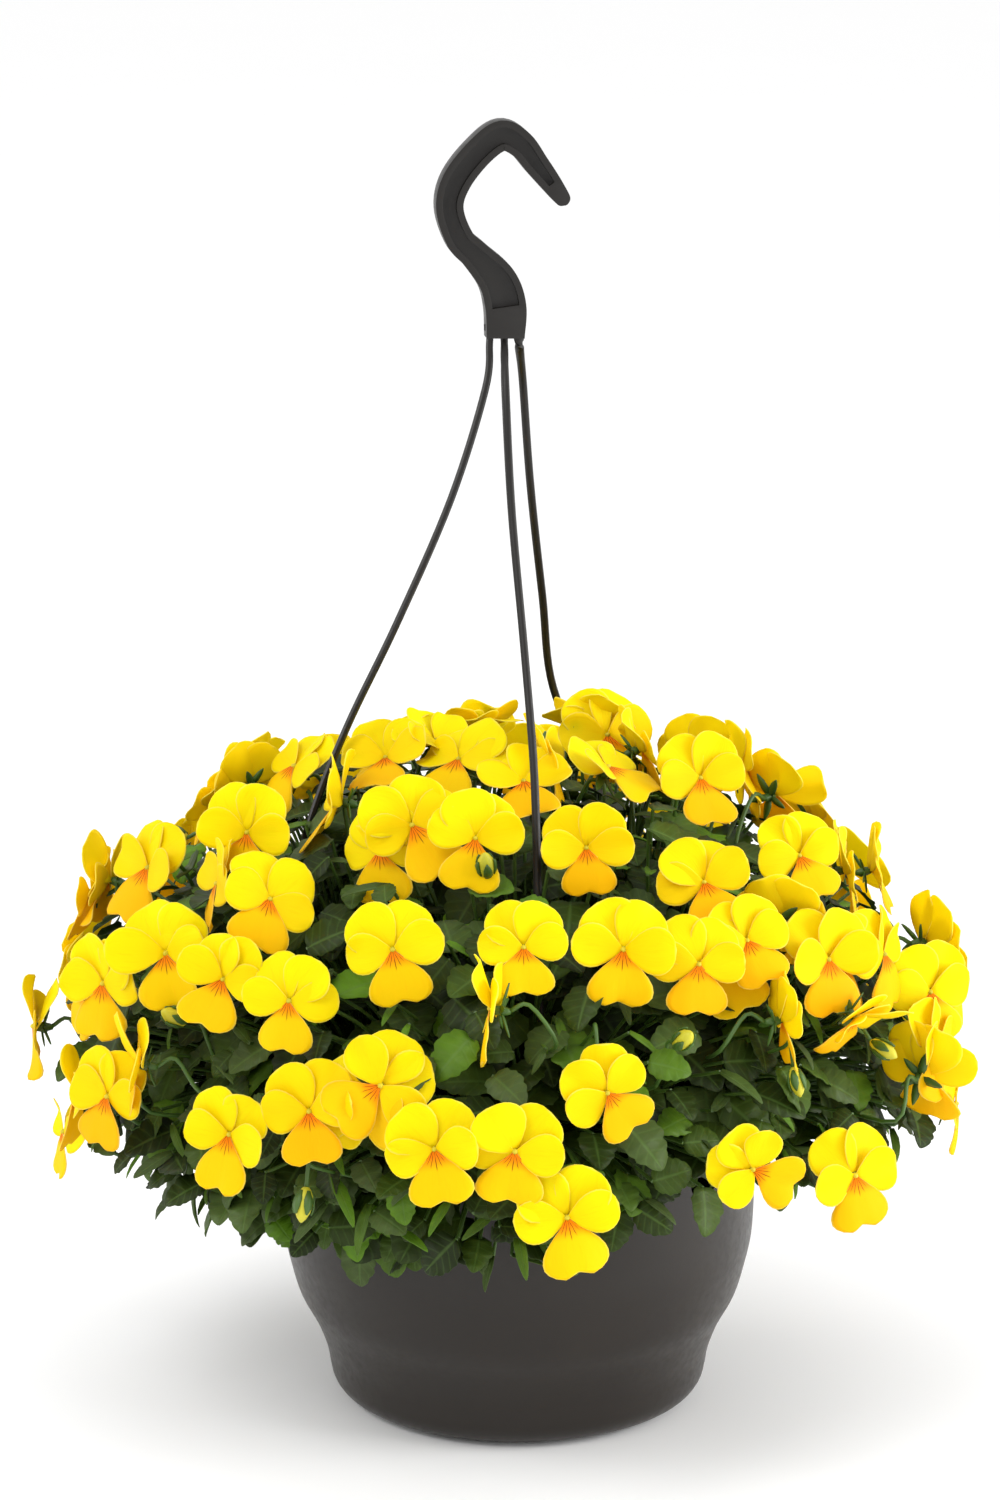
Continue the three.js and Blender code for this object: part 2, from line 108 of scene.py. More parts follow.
def outward(made):
    """Turns a closed mesh's faces to point out."""
    work = bmesh.new()
    work.from_mesh(made.data)
    bmesh.ops.recalc_face_normals(work, faces=work.faces)
    work.to_mesh(made.data)
    work.free()
    return made


def applied(made):
    """Turns an object with modifiers into a plain mesh."""
    graph = bpy.context.evaluated_depsgraph_get()
    mesh = bpy.data.meshes.new_from_object(made.evaluated_get(graph), depsgraph=graph)
    made.modifiers.clear()
    made.data = mesh
    return made


def colour(code):
    """Linear colour of an sRGB hex value."""
    def channel(i):
        c = int(code[i:i + 2], 16) / 255
        return c / 12.92 if c <= 0.04045 else ((c + 0.055) / 1.055) ** 2.4
    return (channel(1), channel(3), channel(5), 1.0)


def add(tree, kind, inputs=None, **settings):
    """Adds a node with its settings. An input is a value, a socket, or a node whose result is used."""
    made = tree.nodes.new(kind if "Node" in kind else "ShaderNode" + kind)
    for key, value in settings.items():
        setattr(made, key, value)
    for key, value in (inputs or {}).items():
        if isinstance(value, bpy.types.Node):
            value = next(output for output in value.outputs if output.enabled)
        if isinstance(value, bpy.types.NodeSocket):
            tree.links.new(value, made.inputs[key])
        else:
            made.inputs[key].default_value = value
    return made


def new_material(name):
    made = bpy.data.materials.new(name)
    made.use_nodes = True
    made.node_tree.nodes.clear()
    return made, made.node_tree


def moulded_plastic(name, dark, light, roughness):
    """Polypropylene moulding: a satin skin whose fine grain breaks up the highlights."""
    made, tree = new_material(name)
    spot = add(tree, "ShaderNodeTexCoord").outputs["Object"]
    # Faint cloudiness of the pigment, 40 mm across.
    cloud = add(tree, "ShaderNodeTexNoise", {"Vector": spot, "Scale": 25.0, "Detail": 3.0})
    tint = add(tree, "ShaderNodeMix", {0: cloud.outputs[0], 6: colour(dark), 7: colour(light)},
               data_type="RGBA")
    # Handling scuffs, drawn 4 mm long, change the gloss a little.
    scuff = add(tree, "ShaderNodeTexNoise", {"Vector": spot, "Scale": 260.0, "Detail": 4.0})
    gloss = add(tree, "ShaderNodeMapRange", {0: scuff.outputs[0], 1: 0.3, 2: 0.7,
                                             3: roughness - 0.05, 4: roughness + 0.07})
    # Mould grain, really 0.2 mm, drawn at 0.7 mm so that it shows.
    grain = add(tree, "ShaderNodeTexNoise", {"Vector": spot, "Scale": 1400.0, "Detail": 2.0})
    bump = add(tree, "ShaderNodeBump", {"Strength": 0.12, "Distance": 0.0002, "Height": grain.outputs[0]})
    skin = add(tree, "ShaderNodeBsdfPrincipled", {
        "Base Color": tint.outputs[2], "Roughness": gloss.outputs[0], "Normal": bump.outputs[0],
        "IOR": 1.49, "Specular IOR Level": 0.36})
    add(tree, "ShaderNodeOutputMaterial", {"Surface": skin.outputs[0]})
    return made


OUTSIDE = [(57, 2), (59.5, 0.4), (61, 0), (73, 0), (79.5, 0.9), (86, 4), (90, 9), (91.6, 15), (93.5, 25),
           (98.8, 39), (106.3, 53), (110.7, 68), (113.6, 82), (114.5, 98), (114.9, 115),
           (RIM_RADIUS, POT_HEIGHT - 1.6)]
LIP = [(114.6, POT_HEIGHT - 0.3), (113.9, POT_HEIGHT), (113.1, POT_HEIGHT - 0.1), (112.5, POT_HEIGHT - 0.7)]
INSIDE = [(112.2, POT_HEIGHT - 1.8), (111.9, 115), (111.5, 98), (110.6, 82), (107.7, 68.5), (103.3, 54.3),
          (95.8, 40.4), (90.5, 26.5), (88.4, 15), (84, 7), (78, 4.4)]
UNDER_FLOOR, OVER_FLOOR = 2.0, 4.2
POT_FACETS, DRAIN_FACETS = 192, 16
# D-shaped slots, straight down to the shoulder and round below; round drain holes in the floor.
SLOT = {"count": 8, "first": 5, "width": 20.0, "height": 10.5, "top": 132.5, "shoulder": 3.7,
        "cut_from": 103, "cut_to": 121}
DRAIN = {"count": 6, "ring": 45, "radius": 4, "cut_from": -3, "cut_to": 9}

pot_profile = [(0, UNDER_FLOOR), *map(tuple, smooth_path(OUTSIDE, 4)), *LIP,
               *map(tuple, smooth_path(INSIDE, 3)), (0, OVER_FLOOR)]
pot = outward(new_object("hanging_pot", *revolved(pot_profile, POT_FACETS)))
half, shoulder = SLOT["width"] / 2, SLOT["shoulder"]
slot_edge = [(-half, 0), (-half, -shoulder)]
slot_edge += [(-half * math.cos(t), -shoulder - (SLOT["height"] - shoulder) * math.sin(t))
              for t in np.linspace(0.15, 3.0, 15)]
slot_edge += [(half, -shoulder), (half, 0)]
cutter_points, cutter_faces = [], []


def cut_prism(near, far):
    """Adds to the cutter a prism between two like outlines."""
    start, n = len(cutter_points), len(near)
    cutter_points.extend([*near, *far])
    cutter_faces.extend([tuple(range(start, start + n)), tuple(reversed(range(start + n, start + 2 * n)))])
    cutter_faces.extend((start + k, start + n + k, start + n + (k + 1) % n, start + (k + 1) % n)
                        for k in range(n))


for i in range(SLOT["count"]):
    turn = Matrix.Rotation(math.radians(SLOT["first"] + 360 / SLOT["count"] * i), 4, "Z")
    cut_prism(*[[turn @ Vector((x / 1000, -radius / 1000, 0)) + place(0, 0, SLOT["top"] + z)
                 for x, z in slot_edge] for radius in (SLOT["cut_from"], SLOT["cut_to"])])
for i in range(DRAIN["count"]):
    turns = [2 * math.pi * k / DRAIN_FACETS for k in range(DRAIN_FACETS)]
    cut_prism(*[[place(360 / DRAIN["count"] * i, DRAIN["ring"], height)
                 + Vector((math.cos(a), math.sin(a), 0)) * DRAIN["radius"] / 1000 for a in turns]
                for height in (DRAIN["cut_from"], DRAIN["cut_to"])])
cutter = outward(new_object("pot_cutter", cutter_points, cutter_faces, smooth=False))
cut = pot.modifiers.new("slots and drain holes", "BOOLEAN")
cut.object, cut.operation, cut.solver = cutter, "DIFFERENCE", "EXACT"
applied(pot)
bpy.data.objects.remove(cutter)
pot.data.shade_smooth()
pot.data.set_sharp_from_angle(angle=math.radians(40))
pot.data.materials.append(
    moulded_plastic("polypropylene_moulded_satin_anthracite", "#1b1612", "#231d17", 0.36))
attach(pot, "root")
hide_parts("pot")


# ---------------------------------------------------------------------------------------------
# Potting soil. Peat with bark fibre, pressed in round the roots and heaped a little towards the
# middle, about 25 mm under the rim. Loose crumbs of bark lie on it.
# ---------------------------------------------------------------------------------------------
SOIL_TOP = (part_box("potting_soil")[1].z - BASE_Z) * 1000
SOIL_RADIUS, SOIL_FLOOR, SOIL_FACETS, CRUMBS = 110.9, 5.2, 96, 420
SOIL_SIDE = [(76, SOIL_FLOOR), (83, 7.8), (87.6, 15), (89.8, 27), (95, 40.8), (102.5, 54.8),
             (106.9, 68.8), (109.8, 82), (110.8, 98)]
LUMPY_FROM = 99.5


def soil_height(x, y):
    far = math.hypot(x, y) / 111
    lumps = 1.6 * math.sin(x * 0.21 + 1.3) * math.cos(y * 0.17) + 0.9 * math.sin(x * 0.53 + y * 0.41)
    return SOIL_TOP - 3 - 6 * far**2 + lumps * (1 - far**6)


def soil_material():
    """Peat and bark: matt, very dark, crumbly down to the millimetre."""
    made, tree = new_material("peat_and_bark_potting_soil")
    spot = add(tree, "ShaderNodeTexCoord").outputs["Object"]
    # Crumbs of 4 mm in four browns.
    crumb = add(tree, "ShaderNodeTexVoronoi", {"Vector": spot, "Scale": 250.0})
    browns = add(tree, "ShaderNodeValToRGB", {0: crumb.outputs["Color"]})
    for spot_at, code in ((0.0, "#17100b"), (0.45, "#2b1d14"), (0.8, "#3f2c1d"), (1.0, "#5a422b")):
        stop = browns.color_ramp.elements.new(spot_at) if 0 < spot_at < 1 else (
            browns.color_ramp.elements[0 if spot_at == 0 else -1])
        stop.color = colour(code)
    bump = add(tree, "ShaderNodeBump", {
        "Strength": 0.9, "Distance": 0.002, "Height": crumb.outputs["Distance"]})
    peat = add(tree, "ShaderNodeBsdfPrincipled", {
        "Base Color": browns.outputs[0], "Roughness": 0.95, "Normal": bump.outputs[0]})
    add(tree, "ShaderNodeOutputMaterial", {"Surface": peat.outputs[0]})
    return made


soil_rings = [(radius, soil_height(radius, 0)) for radius in np.linspace(SOIL_RADIUS, 3, 34)]
soil_profile = [(0, SOIL_FLOOR), *SOIL_SIDE, *soil_rings, (0, soil_height(0, 0))]
soil_points, soil_faces = revolved(soil_profile, SOIL_FACETS)
for point in soil_points:
    if point.z > BASE_Z + LUMPY_FROM / 1000:
        point.z = BASE_Z + soil_height((point.x - POT_X) * 1000, point.y * 1000) / 1000
soil = outward(new_object("potting_soil_bed", soil_points, soil_faces))
soil.data.materials.append(soil_material())
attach(soil, "root")
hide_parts("potting_soil")


def instance_tree(name, material):
    """Copies of one object on every point of a mesh, turned and sized by the points' own values."""
    tree = bpy.data.node_groups.new(name, "GeometryNodeTree")
    tree.interface.new_socket("Points", in_out="INPUT", socket_type="NodeSocketGeometry")
    tree.interface.new_socket("Copied object", in_out="INPUT", socket_type="NodeSocketObject")
    tree.interface.new_socket("Size", in_out="INPUT", socket_type="NodeSocketFloat").default_value = 1
    tree.interface.new_socket("Result", in_out="OUTPUT", socket_type="NodeSocketGeometry")
    given = add(tree, "NodeGroupInput")
    copied = add(tree, "GeometryNodeObjectInfo", {"Object": given.outputs["Copied object"]})
    turn = add(tree, "GeometryNodeInputNamedAttribute", {"Name": "turn"}, data_type="FLOAT_VECTOR")
    size = add(tree, "GeometryNodeInputNamedAttribute", {"Name": "size"}, data_type="FLOAT")
    turned = add(tree, "FunctionNodeEulerToRotation", {0: turn.outputs["Attribute"]})
    sized = add(tree, "ShaderNodeMath", {0: size.outputs["Attribute"], 1: given.outputs["Size"]},
                operation="MULTIPLY")
    copies = add(tree, "GeometryNodeInstanceOnPoints", {
        "Points": given.outputs["Points"], "Instance": copied.outputs["Geometry"],
        "Rotation": turned.outputs[0], "Scale": sized.outputs[0]})
    real = add(tree, "GeometryNodeRealizeInstances", {"Geometry": copies.outputs[0]})
    coated = add(tree, "GeometryNodeSetMaterial", {"Geometry": real.outputs[0], "Material": material})
    add(tree, "NodeGroupOutput", {"Result": coated.outputs[0]})
    return tree


def scattered(name, copied, spots, material, tree):
    """A plain mesh with a copy of an object at each spot: (point, turn, size, tint)."""
    holder = new_object(name, [s[0] for s in spots], [])
    for key, kind, values in (("turn", "FLOAT_VECTOR", [c for s in spots for c in s[1]]),
                              ("size", "FLOAT", [s[2] for s in spots]), ("tint", "FLOAT", [s[3] for s in spots])):
        layer = holder.data.attributes.new(key, kind, "POINT")
        layer.data.foreach_set("vector" if kind == "FLOAT_VECTOR" else "value", values)
    nodes = holder.modifiers.new("copies", "NODES")
    nodes.node_group = tree
    sockets = {i.name: i.identifier for i in tree.interface.items_tree if i.in_out == "INPUT"}
    nodes[sockets["Copied object"]] = copied
    applied(holder)
    if not holder.data.materials:
        holder.data.materials.append(material)
    return holder


bark = new_object("bark_crumb", [(-1, -0.5, -0.4), (1, -0.6, -0.3), (1.2, 0.5, -0.4), (-0.9, 0.6, -0.4),
                                 (-0.7, -0.4, 0.4), (0.8, -0.3, 0.5), (0.9, 0.4, 0.3), (-0.8, 0.3, 0.5)],
                  [(3, 2, 1, 0), (4, 5, 6, 7), (0, 1, 5, 4), (1, 2, 6, 5), (2, 3, 7, 6), (3, 0, 4, 7)])
dice = random.Random(11)
crumb_spots = []
for i in range(CRUMBS):
    azimuth, radius = dice.uniform(0, 360), 105 * math.sqrt(dice.random())
    spot = place(azimuth, radius, 0)
    spot.z = BASE_Z + (soil_height((spot.x - POT_X) * 1000, spot.y * 1000) + 0.6) / 1000
    turn = (dice.uniform(-0.5, 0.5), dice.uniform(-0.5, 0.5), dice.uniform(0, 6.28))
    crumb_spots.append((spot, turn, dice.uniform(0.001, 0.0032), dice.random()))
peat_skin = soil.data.materials[0]
crumbs = scattered("bark_crumbs", bark, crumb_spots, peat_skin, instance_tree("bark scatter", peat_skin))
bpy.data.objects.remove(bark)
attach(crumbs, "root")


# ---------------------------------------------------------------------------------------------
# Hanger. One polypropylene moulding: a hook of I-shaped section, a solid block under it, and
# three thin legs that bow out over the plants. Each leg ends in a clip, a peg with a wide head,
# which passes through a slot under the pot's rim.
# ---------------------------------------------------------------------------------------------
HOOK_DEPTH, HOOK_TURN, FLANGE, WEB = 10.0, 8.0, 3.2, 3.2
BLOCK_BOTTOM = -87.3
# The hook's middle line from its tip: across, height and half-width.
HOOK_SPINE = [
    (28.9, -25.3, 0.6), (28.2, -24.2, 2.8), (26.6, -22, 3.8), (21, -14.4, 4.9), (14.7, -6.2, 5.7),
    (7.5, 3, 6.4), (-1.4, 7.2, 7.1), (-11.7, 0.2, 6.9), (-22.3, -13, 6.9), (-25.8, -26, 6.4),
    (-21, -40.5, 6.6), (-13.5, -48.4, 7), (-3.5, -60, 8.9), (0.4, -72.5, 9.6), (0.3, BLOCK_BOTTOM, 8.9)]
POCKET_FROM, POCKET_TO = 0.2, 0.93


def hook_outline(inset):
    """The two sides of the hook along its middle line, this far inside its edge."""
    path = smooth_path(HOOK_SPINE, 7)
    left, right = [], []
    for i, (x, z, half_width) in enumerate(path):
        before, after = path[max(i - 1, 0)], path[min(i + 1, len(path) - 1)]
        along = Vector((after[0] - before[0], after[1] - before[1])).normalized()
        reach = max(half_width - inset, 0.5)
        left.append((x - along.y * reach, z + along.x * reach))
        right.append((x + along.y * reach, z - along.x * reach))
    return left, right


def hook_mesh():
    """The hook as an I-shaped bar: a pocket in each flat side leaves a thinner web between."""
    points, faces = [], []

    def loop(outline, depth):
        start = len(points)
        for x, z in outline:
            turn = Matrix.Rotation(math.radians(HOOK_TURN), 3, "Z")
            points.append(turn @ Vector((x, depth, z)) / 1000)
        return start

    def band(first, second, count):
        for k in range(count):
            after = (k + 1) % count
            faces.append((first + k, first + after, second + after, second + k))

    left, right = hook_outline(0)
    start, end = round(POCKET_FROM * (len(left) - 1)), round(POCKET_TO * (len(left) - 1))
    edge = left + right[::-1]
    inner_left, inner_right = hook_outline(FLANGE)
    pocket = inner_left[start:end + 1] + inner_right[start:end + 1][::-1]
    n, m = len(edge), len(pocket)
    loops = []
    for side in (-1, 1):
        outer = loop(edge, side * HOOK_DEPTH / 2)
        rim = loop(pocket, side * HOOK_DEPTH / 2)
        floor = loop(pocket, side * WEB / 2)
        loops.append(outer)
        band(rim, floor, m)
        for k in range(m // 2 - 1):
            faces.append((floor + k, floor + k + 1, floor + m - 2 - k, floor + m - 1 - k))
        for k in range(start, end):
            j = k - start
            faces.append((outer + k, outer + k + 1, rim + j + 1, rim + j))
            faces.append((outer + n - 2 - k, outer + n - 1 - k, rim + m - 1 - j, rim + m - 2 - j))
        faces.append((*range(outer, outer + start + 1), rim, rim + m - 1,
                      *range(outer + n - 1 - start, outer + n)))
        faces.append((*range(outer + end, outer + n - end), rim + m // 2, rim + m // 2 - 1))
    band(*loops, n)
    return points, faces


def ringed(rings, sides):
    """Faces of a closed bar of rings of points."""
    faces = []
    for start in range(0, (rings - 1) * sides, sides):
        for k in range(sides):
            a, b = start + k, start + (k + 1) % sides
            faces.append((a, b, b + sides, a + sides))
    last = (rings - 1) * sides
    return [*faces, tuple(reversed(range(sides))), tuple(range(last, last + sides))]


def swept(path, sections, sides):
    """A closed bar along a path; a section is its half-width, and its half-depth towards the axis."""
    points = []
    for i, spot in enumerate(path):
        along = (path[min(i + 1, len(path) - 1)] - path[max(i - 1, 0)]).normalized()
        away = Vector((spot.x - POT_X, spot.y, 0)) if i > 3 else Vector((0, -1, 0))
        across = along.cross(away.normalized()).normalized()
        depth = across.cross(along).normalized()
        wide, deep = sections(i / (len(path) - 1))
        for k in range(sides):
            a = 2 * math.pi * (k + 0.5) / sides
            c, s = math.cos(a), math.sin(a)
            square = max(abs(c), abs(s)) ** -0.55
            points.append(spot + across * (wide * c * square) + depth * (deep * s * square))
    return points, ringed(len(path), sides)


# Each leg: where it leaves the block, the azimuth it bows out in, its slot, and how far its upper
# part is drawn across towards the block. Then the bow: radius, height and share of that draw.
LEGS = [(-6.6, -85, -85, 1.3), (0.3, 5, 5, -7.5), (7.2, 168, 140, -1.5)]
LEG_OFFSET, PLUMB_FROM, LEG_FACETS = 118, 150, 8
LEG_BOW = [(17, 494, 1), (33, 442, 0.8), (58, 383, 0.32), (82, 332, 0), (100, 285, 0), (112, 232, 0),
           (LEG_OFFSET, 185, 0)]
PEG_HALF, PEG_LENGTH, PEG_HEIGHT, PEG_GAP, HEAD_HALF, HEAD = 3, 11, 6.0, 0.4, 6, 3


def leg_path(across, bow, slot, drawn):
    """A leg's middle line, from inside the block out over the plants and down to its slot."""
    points = [Vector((across, 0, BLOCK_BOTTOM + 6)) / 1000, Vector((across, 0, BLOCK_BOTTOM - 3)) / 1000]
    for i, (radius, height, share) in enumerate(LEG_BOW):
        swing = max(0, i - 3) / (len(LEG_BOW) - 4)
        draw = Vector((drawn * share / 1000, 0, 0))
        points.append(place(bow + (slot - bow) * swing, radius, height) + draw)
    points += [place(slot, LEG_OFFSET, PLUMB_FROM), place(slot, LEG_OFFSET, SLOT["top"] - PEG_HEIGHT)]
    return [Vector(p) for p in smooth_path(points, 8)]


def leg_section(t):
    """Legs leave the block 5.6 mm wide and thin down to 3.8 mm."""
    wide = 2.8 - 0.9 * min(1.0, t * 6)
    return wide / 1000, LEG_HALF_DEPTH / 1000


def clip_block(half, near, far, azimuth):
    """A block of the clip at the slot's azimuth, from one distance out from the axis to another."""
    top = SLOT["top"] - PEG_GAP
    turn = Matrix.Rotation(math.radians(azimuth), 3, "Z")
    points = [turn @ Vector((x, -y, 0)) / 1000 + place(0, 0, z)
              for x in (-half, half) for y in (far, near) for z in (top - PEG_HEIGHT, top)]
    return points, [(0, 1, 3, 2), (4, 6, 7, 5), (0, 4, 5, 1), (2, 3, 7, 6), (0, 2, 6, 4), (1, 5, 7, 3)]


def gathered(pieces):
    points, faces = [], []
    for some_points, some_faces in pieces:
        faces += [tuple(i + len(points) for i in face) for face in some_faces]
        points += some_points
    return points, faces


LEG_HALF_DEPTH, MOULDED_EDGE = 1.75, 1.1
hanger_plastic = moulded_plastic("polypropylene_moulded_satin_black", "#12100e", "#181512", 0.42)
hook = outward(new_object("hanger_hook", *hook_mesh()))
soften = hook.modifiers.new("moulded edges", "BEVEL")
soften.width, soften.segments = MOULDED_EDGE / 1000, 3
soften.limit_method, soften.angle_limit = "ANGLE", math.radians(50)
applied(hook)
hook.data.shade_smooth()
hook.data.set_sharp_from_angle(angle=math.radians(50))

leg_pieces = []
for across, bow, slot_azimuth, drawn in LEGS:
    leg_pieces.append(swept(leg_path(across, bow, slot_azimuth, drawn), leg_section, LEG_FACETS))
    head_end = LEG_OFFSET - PEG_LENGTH - 0.5
    leg_pieces.append(clip_block(PEG_HALF, LEG_OFFSET - PEG_LENGTH, LEG_OFFSET + 1, slot_azimuth))
    leg_pieces.append(clip_block(HEAD_HALF, head_end, head_end + HEAD, slot_azimuth))
legs = outward(new_object("hanger_legs", *gathered(leg_pieces)))
legs.data.set_sharp_from_angle(angle=math.radians(45))
for piece in (hook, legs):
    piece.data.materials.append(hanger_plastic)
    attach(piece, "root")
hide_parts("hanger")


# ---------------------------------------------------------------------------------------------
# Viola flowers. Each has five petals round a small throat: two broad ones standing at the back,
# one at each side, and a broad notched lip below, all held by five green sepals. A thin stalk
# bends over behind the sepals. Each flower stands where its CAD solid stands, facing as it does.
# ---------------------------------------------------------------------------------------------
def thin_sheet(rows, columns, surface, thickness):
    """A closed thin sheet. surface(u, v) is its middle, u from -1 to 1 across, v from 0 to 1 along."""
    us, vs = np.linspace(-1, 1, columns + 1), 1 - (1 - np.linspace(0, 1, rows + 1)) ** 1.6
    grid = np.array([[surface(u, v) for u in us] for v in vs], dtype=float)
    along, across = np.gradient(grid, axis=0), np.gradient(grid, axis=1)
    normal = np.cross(across, along)
    normal /= np.maximum(np.linalg.norm(normal, axis=2, keepdims=True), 1e-12)
    top, bottom = grid + normal * thickness / 2, grid - normal * thickness / 2
    points = np.concatenate([top.reshape(-1, 3), bottom.reshape(-1, 3)])
    width, count = columns + 1, (rows + 1) * (columns + 1)
    uv = np.array([(u, v) for v in vs for u in us])
    faces, back = [], []
    for i in range(rows):
        for j in range(columns):
            a = i * width + j
            faces += [(a, a + 1, a + width + 1, a + width),
                      (count + a + width, count + a + width + 1, count + a + 1, count + a)]
            back += [0, 1]
    rim = [j for j in range(columns)] + [i * width + columns for i in range(rows)]
    rim += [rows * width + columns - j for j in range(columns)] + [(rows - i) * width for i in range(rows)]
    for k, a in enumerate(rim):
        b = rim[(k + 1) % len(rim)]
        faces.append((b, a, a + count, b + count))
        back.append(0)
    return points, faces, np.concatenate([uv, uv]), back


def petal_surface(petal, dice, tilt):
    """Middle surface of one petal, standing up from the throat, in millimetres."""
    length, width, widest, claw = petal["size"]
    length, width = length * dice.uniform(0.94, 1.04), width * dice.uniform(0.92, 1.06)
    notch, cup, ruffle = petal["notch"], petal["cup"] * dice.uniform(-0.2, 2.4), dice.uniform(0.4, 1.9)
    curl, phase, lean = dice.uniform(-3.5, 6.5), dice.uniform(0, 6.28), dice.uniform(-0.16, 0.16)

    def surface(u, v):
        if v < widest:
            half_width = width * (0.06 + 0.94 * math.sin(math.pi / 2 * v / widest) ** claw)
        else:
            tip = (v - widest) / (1.0 - widest)
            half_width = width * (math.sqrt(max(0.0, 1 - tip ** 2.2)) + 0.004)
        x = u * half_width
        side = x / width
        y = length * (v - notch * math.exp(-(side / 0.3) ** 2) * v ** 6)
        z = tilt * y + cup * (x / 10) ** 2 - curl * v ** 2.5 + lean * x
        wave = math.sin(side * 3.4 + phase) * v ** 2
        z += ruffle * (wave + 0.5 * math.sin(v * 8 + phase * 1.7) * side * side)
        z -= petal["crease"] * math.exp(-(side / 0.12) ** 2) * v
        return x, y, z
    return surface


# Turn from straight up. Size: length, half-width, where along it is widest, how narrow its claw is.
UPPER = {"size": (25.5, 13.4, 0.58, 0.95), "notch": 0.02, "cup": 0.9, "tilt": -0.08, "crease": 0.3, "lip": 0.0}
SIDE = {"size": (24.0, 10.6, 0.6, 1.05), "notch": 0, "cup": 0.8, "tilt": 0.05, "crease": 0.2, "lip": 0.25}
LIP_PETAL = {"size": (26.5, 15.6, 0.7, 1.2), "notch": 0.12, "cup": -0.8, "tilt": 0.14, "crease": 0.7, "lip": 1.0}
PETALS = [{"turn": 30, "lift": -1.9, **UPPER}, {"turn": -30, "lift": -1.1, **UPPER},
          {"turn": 80, "lift": 0.0, **SIDE}, {"turn": -80, "lift": 0.2, **SIDE},
          {"turn": 180, "lift": 0.7, **LIP_PETAL}]
PETAL_THICKNESS = 0.5


def sepal_surface(u, v):
    half_width = 2.1 * math.sin(math.pi * min(1, 0.12 + 0.88 * v)) ** 0.8 + 0.08
    return u * half_width, 12.5 * v, -3.2 - 4.6 * v + 1.5 * v * v + 0.35 * u * u * half_width


def tube(path, radii, sides=6):
    """A closed round rod along a path, with a radius for each point."""
    points = []
    up = Vector((0.13, 0.31, 0.94))
    for i, spot in enumerate(path):
        along = (path[min(i + 1, len(path) - 1)] - path[max(i - 1, 0)]).normalized()
        side = along.cross(up).normalized()
        up = side.cross(along).normalized()
        for k in range(sides):
            a = 2 * math.pi * k / sides
            points.append(spot + side * (radii[i] * math.cos(a)) + up * (radii[i] * math.sin(a)))
    return points, ringed(len(path), sides)


